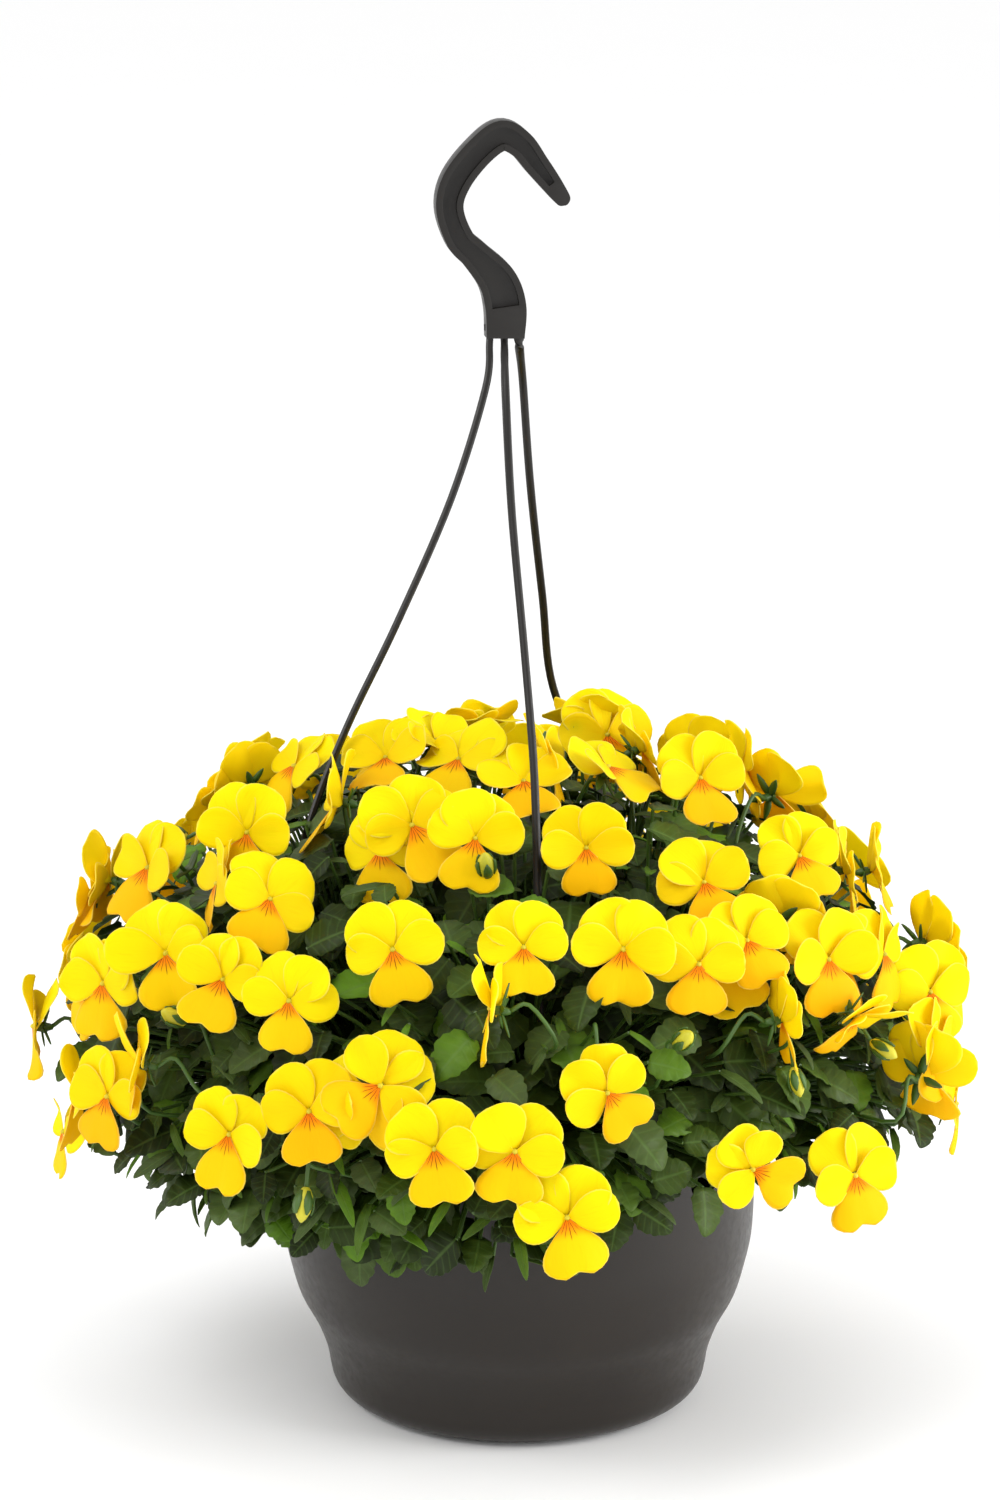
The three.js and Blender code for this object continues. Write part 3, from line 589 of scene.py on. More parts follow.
def petal_material():
    """Viola petal: a velvety skin of tiny domed cells. Light comes through from behind. The lip is
    a deeper amber with an orange throat, and fine red-brown guide lines run out of the throat."""
    made, tree = new_material("viola_petal_velvety_yellow")
    uv = add(tree, "SeparateXYZ", {0: add(tree, "UVMap", uv_map="UVMap")})
    across = add(tree, "Math", {0: uv.outputs[0], 1: 2.0, 2: -1.0}, operation="MULTIPLY_ADD")
    side = add(tree, "Math", {0: across}, operation="ABSOLUTE")
    along = uv.outputs[1]
    lip, tone, back = (add(tree, "Attribute", attribute_name=name).outputs["Fac"]
                       for name in ("lip", "tone", "back"))
    soft, rgba, product = {"interpolation_type": "SMOOTHSTEP"}, {"data_type": "RGBA"}, {"operation": "MULTIPLY"}
    # Each petal deepens towards its base.
    depth = add(tree, "MapRange", {0: along, 1: 0.6, 2: 0.0, 4: 0.25}, **soft)
    # Fine veins fan out from the base, about 1 mm apart, drawn soft.
    fan = add(tree, "CombineXYZ", {0: add(tree, "Math", {0: across, 1: 9.0}, **product),
                                   1: add(tree, "Math", {0: along, 1: 1.6}, **product), 2: tone})
    vein = add(tree, "TexNoise", {"Vector": fan, "Scale": 1.6, "Detail": 3.0})
    faint = add(tree, "MapRange", {0: vein, 1: 0.5, 2: 0.75, 4: 0.13}, **soft)
    # Throat: orange on the lip, fading out a third of the way along it.
    near = add(tree, "MapRange", {0: along, 1: 0.36, 2: 0.08}, **soft)
    glow = add(tree, "Math", {0: near, 1: add(tree, "MapRange", {0: lip, 1: 0.3, 2: 0.9, 4: 0.9}, **soft)},
               **product)
    # Guide lines: hair lines at even spacing across the lip, shorter towards its sides.
    beat = add(tree, "Math", {0: across, 1: 3.2, 2: 0.5}, operation="MULTIPLY_ADD")
    for step in ("FRACT", "SUBTRACT", "ABSOLUTE"):
        beat = add(tree, "Math", {0: beat, 1: 0.5}, operation=step)
    hair = add(tree, "MapRange", {0: beat, 1: 0.14, 2: 0.04}, **soft)
    reach = add(tree, "Math", {0: side, 1: -0.2, 2: 0.38}, operation="MULTIPLY_ADD")
    short = add(tree, "Math", {0: reach, 1: along}, operation="SUBTRACT")
    for limit in ({0: short, 1: 0.0, 2: 0.12}, {0: lip, 1: 0.3, 2: 0.9, 4: 0.95}):
        hair = add(tree, "Math", {0: hair, 1: add(tree, "MapRange", limit, **soft)}, **product)
    # The edge is thin, and a pale band along it is painted rim light, a painted highlight; the back is duller.
    edge = add(tree, "Math", {0: add(tree, "MapRange", {0: side, 1: 0.93}, **soft),
                              1: add(tree, "MapRange", {0: along, 1: 0.95}, **soft)}, operation="MAXIMUM")
    painted_rim_light = add(tree, "Math", {0: edge, 1: 0.5}, **product)
    dull = add(tree, "Math", {0: back, 1: 0.35}, **product)
    # Clear yellow petals and an amber lip, each in a range of tones, with those layers over them.
    clear = add(tree, "Mix", {0: tone, 6: colour("#fff400"), 7: colour("#ffea00")}, **rgba)
    amber = add(tree, "Mix", {0: tone, 6: colour("#ffe000"), 7: colour("#ffc800")}, **rgba)
    ground = add(tree, "Mix", {0: lip, 6: clear, 7: amber}, **rgba)
    # The pale #fff27a layer is the painted rim highlight along the petal edges.
    for share, code in ((depth, "#ffd000"), (faint, "#ffbe00"), (glow, "#ff8606"), (hair, "#7c2406"),
                        (painted_rim_light, "#fff27a"), (dull, "#fbdc10")):
        ground = add(tree, "Mix", {0: share, 6: ground, 7: colour(code)}, **rgba)
    bump = add(tree, "Bump", {"Strength": 0.25, "Distance": 0.0004, "Height": vein})
    skin = add(tree, "BsdfPrincipled", {
        "Base Color": ground, "Roughness": 0.65, "Specular IOR Level": 0.12, "Normal": bump})
    lit = add(tree, "BsdfTranslucent", {"Color": ground, "Normal": bump})
    add(tree, "OutputMaterial", {"Surface": add(tree, "MixShader", {0: 0.36, 1: skin, 2: lit})})
    return made


def green_material(name, dark, light, roughness):
    """Soft stems and sepals: fresh green to dark green in patches, faintly ribbed."""
    made, tree = new_material(name)
    spot = add(tree, "ShaderNodeTexCoord").outputs["Object"]
    patch = add(tree, "ShaderNodeTexNoise", {"Vector": spot, "Scale": 45.0, "Detail": 3.0})
    tint = add(tree, "ShaderNodeMix", {0: patch.outputs[0], 6: colour(dark), 7: colour(light)}, data_type="RGBA")
    rib = add(tree, "ShaderNodeTexNoise", {"Vector": spot, "Scale": 900.0})
    bump = add(tree, "ShaderNodeBump", {"Strength": 0.2, "Distance": 0.0003, "Height": rib.outputs[0]})
    skin = add(tree, "ShaderNodeBsdfPrincipled", {
        "Base Color": tint.outputs[2], "Roughness": roughness, "Normal": bump.outputs[0]})
    add(tree, "ShaderNodeOutputMaterial", {"Surface": skin.outputs[0]})
    return made


petal_skin = petal_material()
sepal_skin = green_material("viola_sepal_and_stalk_green", "#24400f", "#4a6e1e", 0.5)
throat_skin = green_material("viola_pollen_throat", "#8a8a12", "#e8d020", 0.6)


def basis(heading, pitch, roll):
    """Axes of a flower, as columns: right, up and facing."""
    h, p = math.radians(heading), math.radians(pitch)
    normal = Vector((math.cos(p) * math.sin(h), -math.cos(p) * math.cos(h), math.sin(p)))
    up = Vector((-math.sin(p) * math.sin(h), math.sin(p) * math.cos(h), math.cos(p)))
    up.rotate(Matrix.Rotation(math.radians(roll), 3, normal))
    return Matrix((up.cross(normal), up, normal)).transposed()


def solid_pose(node):
    """A flower's throat, axes and size, read from its CAD solid: a flat plate of petals whose lip
    reaches furthest from the throat, with a cone behind the throat."""
    points = np.unique(np.round([v.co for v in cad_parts[node].data.vertices], 5), axis=0)
    middle = points.mean(axis=0)
    normal = np.linalg.svd(points - middle)[2][2]
    depth = (points - middle) @ normal
    if abs(depth.max()) > abs(depth.min()):
        normal, depth = -normal, -depth
    tip = points[depth.argmin()]
    throat = tip + normal * 0.0095
    plate = points[depth > depth.max() - 0.0025]
    reach = np.linalg.norm(plate - throat - np.outer((plate - throat) @ normal, normal), axis=1)
    down = Vector(plate[reach.argmax()] - throat)
    normal = Vector(normal)
    up = -(down - normal * down.dot(normal)).normalized()
    axes = Matrix((up.cross(normal), up, normal)).transposed()
    return Vector(throat), axes, min(1.05, max(0.82, reach.max() / 0.02825))


CROWN_CIRCLE, PLANT_COUNT = 58, 5
LEAN_AT_SIDES, LEAN_AT_FRONT = -9, 2.5
MOUND_MIDDLE, MOUND_RADIUS, MOUND_ABOVE, MOUND_BELOW = 175, 223, 152, 95


def crown_of(azimuth):
    """Where the nearest plant grows out of the soil."""
    nearest = round(azimuth / (360 / PLANT_COUNT)) * (360 / PLANT_COUNT)
    return place(nearest, CROWN_CIRCLE, SOIL_TOP)


def azimuth_of(spot):
    return math.degrees(math.atan2(spot.x - POT_X, -spot.y))


def stalk_path(throat, axes, dice):
    """From behind the sepals the stalk arches over and runs down towards its plant's crown."""
    normal, up = axes.col[2], Vector((0, 0, 1))
    inner = crown_of(azimuth_of(throat)).lerp(throat, 0.45) + Vector((0, 0, 0.012))
    neck = throat - normal * 0.007
    arch = throat - normal * 0.016 + up * 0.004
    fall = arch - normal * 0.012 - up * 0.016
    bow = fall.lerp(inner, 0.5) + Vector((dice.uniform(-6, 6), dice.uniform(-6, 6), dice.uniform(-3, 9))) / 1000
    return [Vector(p) for p in smooth_path([neck, arch, fall, bow, inner], 4)]


def flower_mesh(throat, axes, size, seed):
    """Vertices, faces, material of each face, uv of each vertex, and lip, tone and back values."""
    dice = random.Random(seed)
    points, faces, skins, uvs, lips, backs = [], [], [], [], [], []
    opening, spare = dice.uniform(-0.12, 0.24), dice.uniform(-7, 9)

    def put(new_points, new_faces, skin, new_uvs=None, lip=0.0, back=None):
        start = len(points)
        points.extend(new_points)
        uvs.extend(new_uvs if new_uvs is not None else [(0, 0)] * len(new_points))
        faces.extend(tuple(i + start for i in face) for face in new_faces)
        skins.extend([skin] * len(new_faces))
        lips.extend([lip] * len(new_points))
        backs.extend(back if back is not None else [0] * len(new_faces))

    def into_place(local):
        return [throat + axes @ Vector(p) * (size / 1000) for p in local]

    for petal in PETALS:
        tilt = petal["tilt"] + opening + dice.uniform(-0.16, 0.16)
        if petal["lip"] < 1 and dice.random() < 0.05:
            tilt += 0.5
        sheet = thin_sheet(10, 10, petal_surface(petal, dice, tilt), PETAL_THICKNESS)
        spread = (1 if petal["turn"] > 0 else -1) * spare if petal["turn"] != 180 else 0
        turn = Matrix.Rotation(math.radians(-petal["turn"] - spread + dice.uniform(-5, 5)), 3, "Z")
        turned = [turn @ Vector(p) + Vector((0, 0, petal["lift"] + 1.2)) for p in sheet[0]]
        put(into_place(turned), sheet[1], 0, (sheet[2] * (0.5, 1) + (0.5, 0)).tolist(), petal["lip"], sheet[3])
    for k in range(5):
        sheet = thin_sheet(4, 2, sepal_surface, 0.6)
        turn = Matrix.Rotation(math.radians(72 * k + 36 + dice.uniform(-16, 16)), 3, "Z")
        turn.rotate(Matrix.Rotation(dice.uniform(-0.2, 0.2), 3, "X"))
        grown = dice.uniform(0.75, 1.1)
        put(into_place([turn @ (Vector(p) * grown) for p in sheet[0]]), sheet[1], 1)
    bulb = [Vector((0, 0, z)) for z in (1.6, 0.2, -3, -6.4, -8)]
    solid = tube(bulb, [0.9, 1.9, 2.6, 1.8, 1.2], 8)
    put(into_place(solid[0]), solid[1], 1)
    pollen = [Vector((0, 0.4, z)) for z in (0.6, 1.6, 2.5, 3.0)]
    solid = tube(pollen, [1.5, 1.5, 1.0, 0.4], 6)
    put(into_place(solid[0]), solid[1], 2)
    path = stalk_path(throat, axes, dice)
    solid = tube(path, np.linspace(0.0011, 0.0009, len(path)))
    put(*solid, 1)
    return points, faces, skins, uvs, lips, backs, dice.random()


def build_flower(name, throat, axes, size, seed):
    points, faces, skins, uvs, lips, backs, tone = flower_mesh(throat, axes, size, seed)
    made = new_object(name, points, faces)
    mesh = made.data
    for skin in (petal_skin, sepal_skin, throat_skin):
        mesh.materials.append(skin)
    mesh.polygons.foreach_set("material_index", skins)
    layer = mesh.uv_layers.new(name="UVMap")
    corners = [loop.vertex_index for loop in mesh.loops]
    layer.data.foreach_set("uv", np.array(uvs)[corners].ravel())
    mesh.attributes.new("lip", "FLOAT", "POINT").data.foreach_set("value", lips)
    mesh.attributes.new("tone", "FLOAT", "POINT").data.foreach_set("value", [tone] * len(points))
    mesh.attributes.new("back", "FLOAT", "FACE").data.foreach_set("value", backs)
    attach(made, "root")
    return made


flower_nodes = sorted(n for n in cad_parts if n.startswith("viola_flower_"))
for seed, node in enumerate(flower_nodes):
    flower = build_flower(node + "_bloom", *solid_pose(node), seed)
    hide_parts(node)


def leaning(azimuth, radius, height):
    """A point round the pot, moved as the mound leans: it grows further out on its left."""
    lean = LEAN_AT_FRONT + (LEAN_AT_SIDES - LEAN_AT_FRONT) * math.sin(math.radians(azimuth)) ** 2
    return place(azimuth, radius, height) + Vector((lean / 1000, 0, 0))


def on_mound(azimuth, height, depth=1.0):
    """A point on the mound of flowers, or this share of the way out to it."""
    reach = MOUND_ABOVE if height > MOUND_MIDDLE else MOUND_BELOW
    radius = MOUND_RADIUS * math.sqrt(max(0.02, 1 - ((height - MOUND_MIDDLE) / reach) ** 2))
    middle = place(0, 0, MOUND_MIDDLE)
    return middle + (leaning(azimuth, radius, height) - middle) * depth


# More blooms between those, a little deeper: azimuth, height, share of the way out, heading, pitch, roll.
DEEPER_BLOOMS = [
    (-110, 296, 0.97, -150, 10, 0), (-60, 280, 0.95, -80, 10, 0), (-104, 309, 0.97, -70, 40, 0),
    (-80, 322, 0.97, -25, 50, 10), (-60, 313, 0.95, -95, 10, 0), (-95, 326, 0.98, 60, 60, 0),
    (20, 327, 0.98, 90, 20, 0), (-34, 304, 0.93, -35, 10, 10), (110, 319, 0.97, 100, 20, 0),
    (135, 320, 0.97, 20, 25, 0), (120, 307, 0.97, 165, 10, 0), (98, 296, 0.98, 140, 5, 0),
    (76, 274, 0.98, 92, 5, 0), (-4, 250, 0.98, -95, 5, 30), (33, 262, 0.93, 12, 20, 25),
    (56, 250, 0.95, 48, 8, -15), (50, 229, 0.98, 60, -45, 0), (48, 272, 0.97, 170, 10, 0),
    (70, 222, 1.0, 20, 5, 0), (63, 190, 0.98, 150, 5, 0), (37, 236, 0.97, 105, 0, 0),
    (-72, 222, 0.97, -70, 5, 0), (-20, 208, 0.96, -30, 5, 70), (-66, 176, 0.97, -100, 0, 0),
    (-84, 270, 0.96, -60, 15, 0), (92, 262, 0.97, 95, 10, 0), (100, 205, 1.0, 110, 5, 0),
    (-100, 240, 1.0, -100, 8, 0), (-112, 190, 1.0, -115, 5, 0), (150, 318, 0.98, 150, 45, 0),
    (200, 322, 0.98, 200, 50, 0), (250, 322, 0.97, 240, 45, 0), (0, 322, 0.97, 10, 60, 0),
    (60, 322, 0.97, 70, 50, 0), (-45, 325, 0.97, -30, 55, 0), (165, 262, 0.97, 165, 15, 20),
    (215, 275, 0.97, 210, 15, -20), (190, 215, 0.99, 185, 10, 40), (235, 235, 0.99, 235, 10, 0),
    (125, 232, 0.99, 130, 10, 15), (145, 185, 1.0, 145, 5, 0), (222, 185, 1.0, 222, 5, 30),
    (112, 275, 0.97, 120, 20, 0), (155, 232, 0.98, 150, 12, -15), (178, 275, 0.97, 175, 20, 10),
    (205, 242, 0.98, 200, 12, 0), (228, 262, 0.97, 232, 18, 10), (250, 285, 0.96, 255, 20, -10),
    (262, 250, 0.98, 258, 10, 0), (172, 178, 1.0, 170, 0, -20), (205, 158, 1.0, 200, -5, 0),
    (118, 160, 1.0, 122, 0, 20), (246, 205, 0.99, 250, 5, -15), (192, 300, 0.97, 185, 35, 0),
    (128, 205, 0.98, 118, 8, -30), (238, 158, 1.0, 238, -5, 10), (84, 208, 0.99, 78, 5, 20)]
for i, (azimuth, height, depth, heading, pitch, roll) in enumerate(DEEPER_BLOOMS):
    build_flower(f"viola_bloom_between_{i + 1:02d}", on_mound(azimuth, height, depth),
                 basis(heading, pitch, roll), 0.88 + 0.03 * (i % 5), 100 + i)


# ---------------------------------------------------------------------------------------------
# Viola buds. Closed petals, green and yellow in patches, wrapped in five sepals and nodding on
# thin stalks.
# ---------------------------------------------------------------------------------------------
bud_skin = green_material("viola_bud_green_to_yellow", "#8c9a1e", "#e6d22c", 0.55)


def build_bud(name, base, axes, length, seed):
    dice = random.Random(seed)
    heights = np.array([-0.1, 0.0, 0.15, 0.4, 0.65, 0.85, 0.97])
    core = tube([base + axes @ Vector((0, 0, h * length)) for h in heights],
                [r * length for r in (0.08, 0.17, 0.25, 0.29, 0.24, 0.14, 0.03)], 10)
    pieces = [(core, 0)]
    for k in range(5):
        def wrapped(u, v):
            around = math.radians(72 * k) + u * 0.5 * math.sin(math.pi * min(1, 0.15 + 0.8 * v))
            radius = 0.19 + 0.13 * math.sin(math.pi * v * 0.8)
            return radius * math.cos(around), radius * math.sin(around), 0.72 * v
        sheet = thin_sheet(4, 2, wrapped, 0.05)
        pieces.append((([base + axes @ Vector(p) * length for p in sheet[0]], sheet[1]), 1))
    path = stalk_path(base + axes.col[2] * 0.006, axes, dice)
    pieces.append((tube(path, np.linspace(0.0010, 0.0009, len(path))), 1))
    made = new_object(name, *gathered([piece for piece, _ in pieces]))
    skins = [skin for piece, skin in pieces for _ in piece[1]]
    made.data.materials.append(bud_skin)
    made.data.materials.append(sepal_skin)
    made.data.polygons.foreach_set("material_index", skins)
    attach(made, "root")
    return made


def bud_pose(node):
    """A bud's base and axes, read from its CAD solid, which is longest along the bud."""
    points = np.unique(np.round([v.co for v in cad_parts[node].data.vertices], 5), axis=0)
    middle = points.mean(axis=0)
    along = Vector(np.linalg.svd(points - middle)[2][0])
    away = Vector(middle) - place(0, 0, MOUND_MIDDLE)
    along = along if along.dot(away) > 0 else -along
    side = along.orthogonal().normalized()
    return Vector(middle) - along * 0.006, Matrix((side, along.cross(side), along)).transposed()


bud_nodes = sorted(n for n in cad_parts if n.startswith("viola_bud_"))
for seed, node in enumerate(bud_nodes):
    bud = build_bud(node + "_closed", *bud_pose(node), 0.015, 300 + seed)
    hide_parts(node)
MORE_BUDS = [(10, 232, 0.93, 10, -50), (54, 214, 0.96, 54, -20), (-8, 300, 0.92, -8, 60), (38, 214, 0.95, 40, -70),
             (64, 236, 0.95, 60, -60), (-52, 226, 0.9, -50, 30), (20, 300, 0.92, 0, 70), (130, 250, 0.96, 130, 10),
             (175, 290, 0.95, 175, 40), (245, 262, 0.95, 245, 10), (210, 210, 0.97, 210, -30)]
for i, (azimuth, height, depth, heading, pitch) in enumerate(MORE_BUDS):
    build_bud(f"viola_bud_between_{i + 1:02d}", on_mound(azimuth, height, depth), basis(heading, pitch, 0),
              0.013 + 0.001 * (i % 3), 400 + i)


# ---------------------------------------------------------------------------------------------
# Viola foliage. Five plants, each a crown of thin stalks with ovate leaves 20 to 40 mm long.
# Their edges are scalloped and their midribs sunken. The leaves stand in layers from the dark
# inside of the mound to just under the flowers, and hang a little over the pot's rim.
# ---------------------------------------------------------------------------------------------
def leaf_surface(scallops, fold, droop, breadth):
    """An ovate leaf of unit length, folded a little along its midrib, its tip bent down."""
    def surface(u, v):
        half_width = breadth * 0.4 * math.sin(math.pi * min(1, 0.05 + 0.95 * v) ** 0.8) ** 0.62 + 0.012
        tooth = 1 + 0.16 * (abs(math.sin(scallops * math.pi * v)) - 0.5) * abs(u) ** 3 if scallops else 1
        x = u * half_width * tooth
        z = fold * abs(x) - droop * v * v + 0.02 * math.sin(v * 17) * u * u
        return x, v * (1 + 0.02 * abs(u)), z
    return surface


def leaf_object(name, rows, columns, scallops, fold, droop, breadth=1.0):
    points, faces, uv, _ = thin_sheet(rows, columns, leaf_surface(scallops, fold, droop, breadth), 0.016)
    made = new_object(name, points, faces)
    layer = made.data.uv_layers.new(name="UVMap")
    corners = [loop.vertex_index for loop in made.data.loops]
    layer.data.foreach_set("uv", (uv * (0.5, 1) + (0.5, 0))[corners].ravel())
    return made


def leaf_material():
    """Viola leaf: dark green, faintly waxy above, with paler midrib and side veins. Old leaves
    are greyer and young ones brighter, by each leaf's tint; the darker tints of the inner leaves are painted shade of
    the mound's inside."""
    made, tree = new_material("viola_leaf_waxy_dark_green")
    uv = add(tree, "ShaderNodeUVMap", uv_map="UVMap")
    split = add(tree, "ShaderNodeSeparateXYZ", {0: uv.outputs[0]})
    across = add(tree, "ShaderNodeMath", {0: split.outputs[0], 1: 2.0, 2: -1.0}, operation="MULTIPLY_ADD").outputs[0]
    side = add(tree, "ShaderNodeMath", {0: across}, operation="ABSOLUTE").outputs[0]
    tint = add(tree, "ShaderNodeAttribute", attribute_name="tint").outputs["Fac"]
    shades = add(tree, "ShaderNodeValToRGB", {0: tint})
    stops = shades.color_ramp.elements
    stops[0].color, stops[1].color = colour("#222f0b"), colour("#5f8a1a")
    for spot, code in ((0.35, "#33450f"), (0.6, "#3f5612"), (0.76, "#4a5a30"), (0.88, "#4f6e18")):
        stops.new(spot).color = colour(code)
    spot = add(tree, "ShaderNodeTexCoord").outputs["Object"]
    mottle = add(tree, "ShaderNodeTexNoise", {"Vector": spot, "Scale": 180.0, "Detail": 4.0})
    shade = add(tree, "ShaderNodeMix", {0: mottle.outputs[0], 6: (0.72, 0.72, 0.72, 1), 7: (1.25, 1.25, 1.2, 1)},
                data_type="RGBA")
    ground = add(tree, "ShaderNodeMix", {0: 1.0, 6: shades.outputs[0], 7: shade.outputs[2]},
                 data_type="RGBA", blend_type="MULTIPLY")
    # Five side veins leave the midrib at a slant.
    slant = add(tree, "ShaderNodeMath", {0: side, 1: -0.9, 2: 0.0}, operation="MULTIPLY_ADD").outputs[0]
    row = add(tree, "ShaderNodeMath", {0: split.outputs[1], 1: 5.5, 2: slant}, operation="MULTIPLY_ADD").outputs[0]
    row = add(tree, "ShaderNodeMath", {0: row}, operation="FRACT").outputs[0]
    row = add(tree, "ShaderNodeMath", {0: row, 1: 0.5}, operation="SUBTRACT").outputs[0]
    row = add(tree, "ShaderNodeMath", {0: row}, operation="ABSOLUTE").outputs[0]
    veins = add(tree, "ShaderNodeMapRange", {0: row, 1: 0.16, 2: 0.0, 3: 0.0, 4: 0.16}).outputs[0]
    rib = add(tree, "ShaderNodeMapRange", {0: side, 1: 0.12, 2: 0.02, 3: 0.0, 4: 0.4}).outputs[0]
    line = add(tree, "ShaderNodeMath", {0: veins, 1: rib}, operation="MAXIMUM").outputs[0]
    ribbed = add(tree, "ShaderNodeMix", {0: line, 6: ground.outputs[2], 7: colour("#5f7f3a")}, data_type="RGBA")
    height = add(tree, "ShaderNodeMath", {0: mottle.outputs[0], 1: line}, operation="SUBTRACT")
    bump = add(tree, "ShaderNodeBump", {"Strength": 0.5, "Distance": 0.0006, "Height": height.outputs[0]})
    skin = add(tree, "ShaderNodeBsdfPrincipled", {
        "Base Color": ribbed.outputs[2], "Roughness": 0.5, "Specular IOR Level": 0.22, "Normal": bump.outputs[0]})
    lit = add(tree, "ShaderNodeBsdfTranslucent", {"Color": ribbed.outputs[2]})
    both = add(tree, "ShaderNodeMixShader", {0: 0.15, 1: skin.outputs[0], 2: lit.outputs[0]})
    add(tree, "ShaderNodeOutputMaterial", {"Surface": both.outputs[0]})
    return made


leaf_skin = leaf_material()
stem_skin = green_material("viola_leaf_stalk_green", "#22380f", "#4a6a1c", 0.5)
scalloped_leaf = leaf_object("scalloped_leaf", 16, 2, 5, 0.22, 0.14)
plain_leaf = leaf_object("plain_leaf", 6, 2, 0, 0.3, 0.2)
narrow_leaf = leaf_object("narrow_leaf", 5, 2, 0, 0.5, 0.25, 0.3)

# Layers of leaves: share of the way out, how many in all, shape, smallest and largest length in mm.
LAYERS = [(0.5, 260, plain_leaf, 24, 38), (0.64, 460, plain_leaf, 20, 34), (0.76, 620, scalloped_leaf, 17, 31),
          (0.87, 560, scalloped_leaf, 13, 27), (0.86, 420, narrow_leaf, 12, 24)]
GOLDEN = 137.508
LOW_ANGLE = -52


def leaf_axes(outward_way, dice):
    """Euler turn of a leaf whose blade faces out and up, and whose tip points out and down."""
    normal = (outward_way + Vector((0, 0, 0.75)) + Vector([dice.uniform(-0.55, 0.55) for _ in range(3)])).normalized()
    tip = Vector([dice.uniform(-1, 1) for _ in range(3)]) + outward_way * 0.6 + Vector((0, 0, -0.35))
    tip = (tip - normal * tip.dot(normal)).normalized()
    return Matrix((tip.cross(normal), tip, normal)).transposed().to_euler()


# The lowest leaves, as azimuth and height: they hang over the rim most at the front left.
HEM = [(-180, 122), (-120, 116), (-85, 118), (-60, 104), (-32, 96), (-14, 108), (2, 122), (14, 148), (30, 158),
       (62, 156), (80, 138), (110, 128), (150, 118), (180, 122)]


def blocked(spot):
    """True where a leaf would be in the pot, its wall or its soil, or under the foliage's hem."""
    radius = math.hypot(spot.x - POT_X, spot.y) * 1000
    height = (spot.z - BASE_Z) * 1000
    if height < SOIL_TOP + 6 and radius < 124:
        return True
    hem = np.interp(azimuth_of(spot), [h[0] for h in HEM], [h[1] for h in HEM])
    return (height < 150 and 100 < radius < 124) or height < hem


leaf_spots = {k: {plain_leaf: [], scalloped_leaf: [], narrow_leaf: []} for k in range(PLANT_COUNT)}
dice = random.Random(5)
for depth, count, shape, shortest, longest in LAYERS:
    for i in range(count):
        share = (i + 0.5) / count
        rise = math.sin(math.radians(LOW_ANGLE)) + (1 - math.sin(math.radians(LOW_ANGLE))) * share
        angle = math.asin(min(1, rise))
        reach = MOUND_ABOVE if angle > 0 else MOUND_BELOW
        azimuth = (GOLDEN * i + dice.uniform(-6, 6) + depth * 500) % 360
        deep = depth + dice.uniform(-0.05, 0.05)
        spot = leaning(azimuth, MOUND_RADIUS * math.cos(angle) * deep,
                       MOUND_MIDDLE + reach * math.sin(angle) * deep)
        if blocked(spot):
            continue
        way = (spot - place(0, 0, 120)).normalized()
        plant = round(azimuth / (360 / PLANT_COUNT)) % PLANT_COUNT
        length = dice.uniform(shortest, longest) / 1000
        # Leaves of the inner layers take only the darker tints: painted shade of the mound's inside.
        tint = dice.uniform(0.0, 0.45) if depth < 0.7 else dice.random() ** 1.4
        if shape is narrow_leaf:
            tint = dice.uniform(0.6, 1.0)
        leaf_spots[plant][shape].append((spot, leaf_axes(way, dice), length, tint))

# A fresh shoot hangs over the rim at the front left: azimuth, radius and height of each leaf's
# base, the way its tip points as azimuth and pitch, length, tint and shape.
HANGING_SHOOT = [
    (-35, 127, 116, -35, -80, 27, 0.72, scalloped_leaf), (-33, 129, 128, -70, -25, 20, 0.95, scalloped_leaf),
    (-33, 129, 130, 10, -20, 22, 1.0, scalloped_leaf), (-32, 130, 130, 25, -45, 19, 0.9, narrow_leaf),
    (-34, 130, 130, -35, 20, 20, 1.0, narrow_leaf), (-34, 130, 129, -80, 5, 17, 1.0, narrow_leaf),
    (-33, 130, 130, 40, 5, 18, 1.0, narrow_leaf), (-27, 127, 124, 0, -62, 26, 0.85, scalloped_leaf),
    (-42, 128, 126, -50, -65, 22, 0.6, scalloped_leaf), (-22, 126, 126, -10, -70, 24, 0.5, scalloped_leaf),
    (-51, 131, 124, -60, -72, 25, 0.35, scalloped_leaf), (-60, 140, 126, -70, -70, 24, 0.3, scalloped_leaf)]
for azimuth, radius, height, tip_azimuth, tip_pitch, length, tint, shape in HANGING_SHOOT:
    spot = place(azimuth, radius, height)
    tip = basis(tip_azimuth, tip_pitch, 0).col[2]
    normal = place(azimuth, 1, 0) - place(0, 0, 0)
    normal = (normal.normalized() * 0.8 + Vector((0, 0, 0.6)))
    normal = (normal - tip * normal.dot(tip)).normalized()
    turn = Matrix((tip.cross(normal), tip, normal)).transposed().to_euler()
    plant = round((azimuth % 360) / (360 / PLANT_COUNT)) % PLANT_COUNT
    leaf_spots[plant][shape].append((spot, turn, length / 1000, tint))

leaf_tree = instance_tree("leaf scatter", leaf_skin)


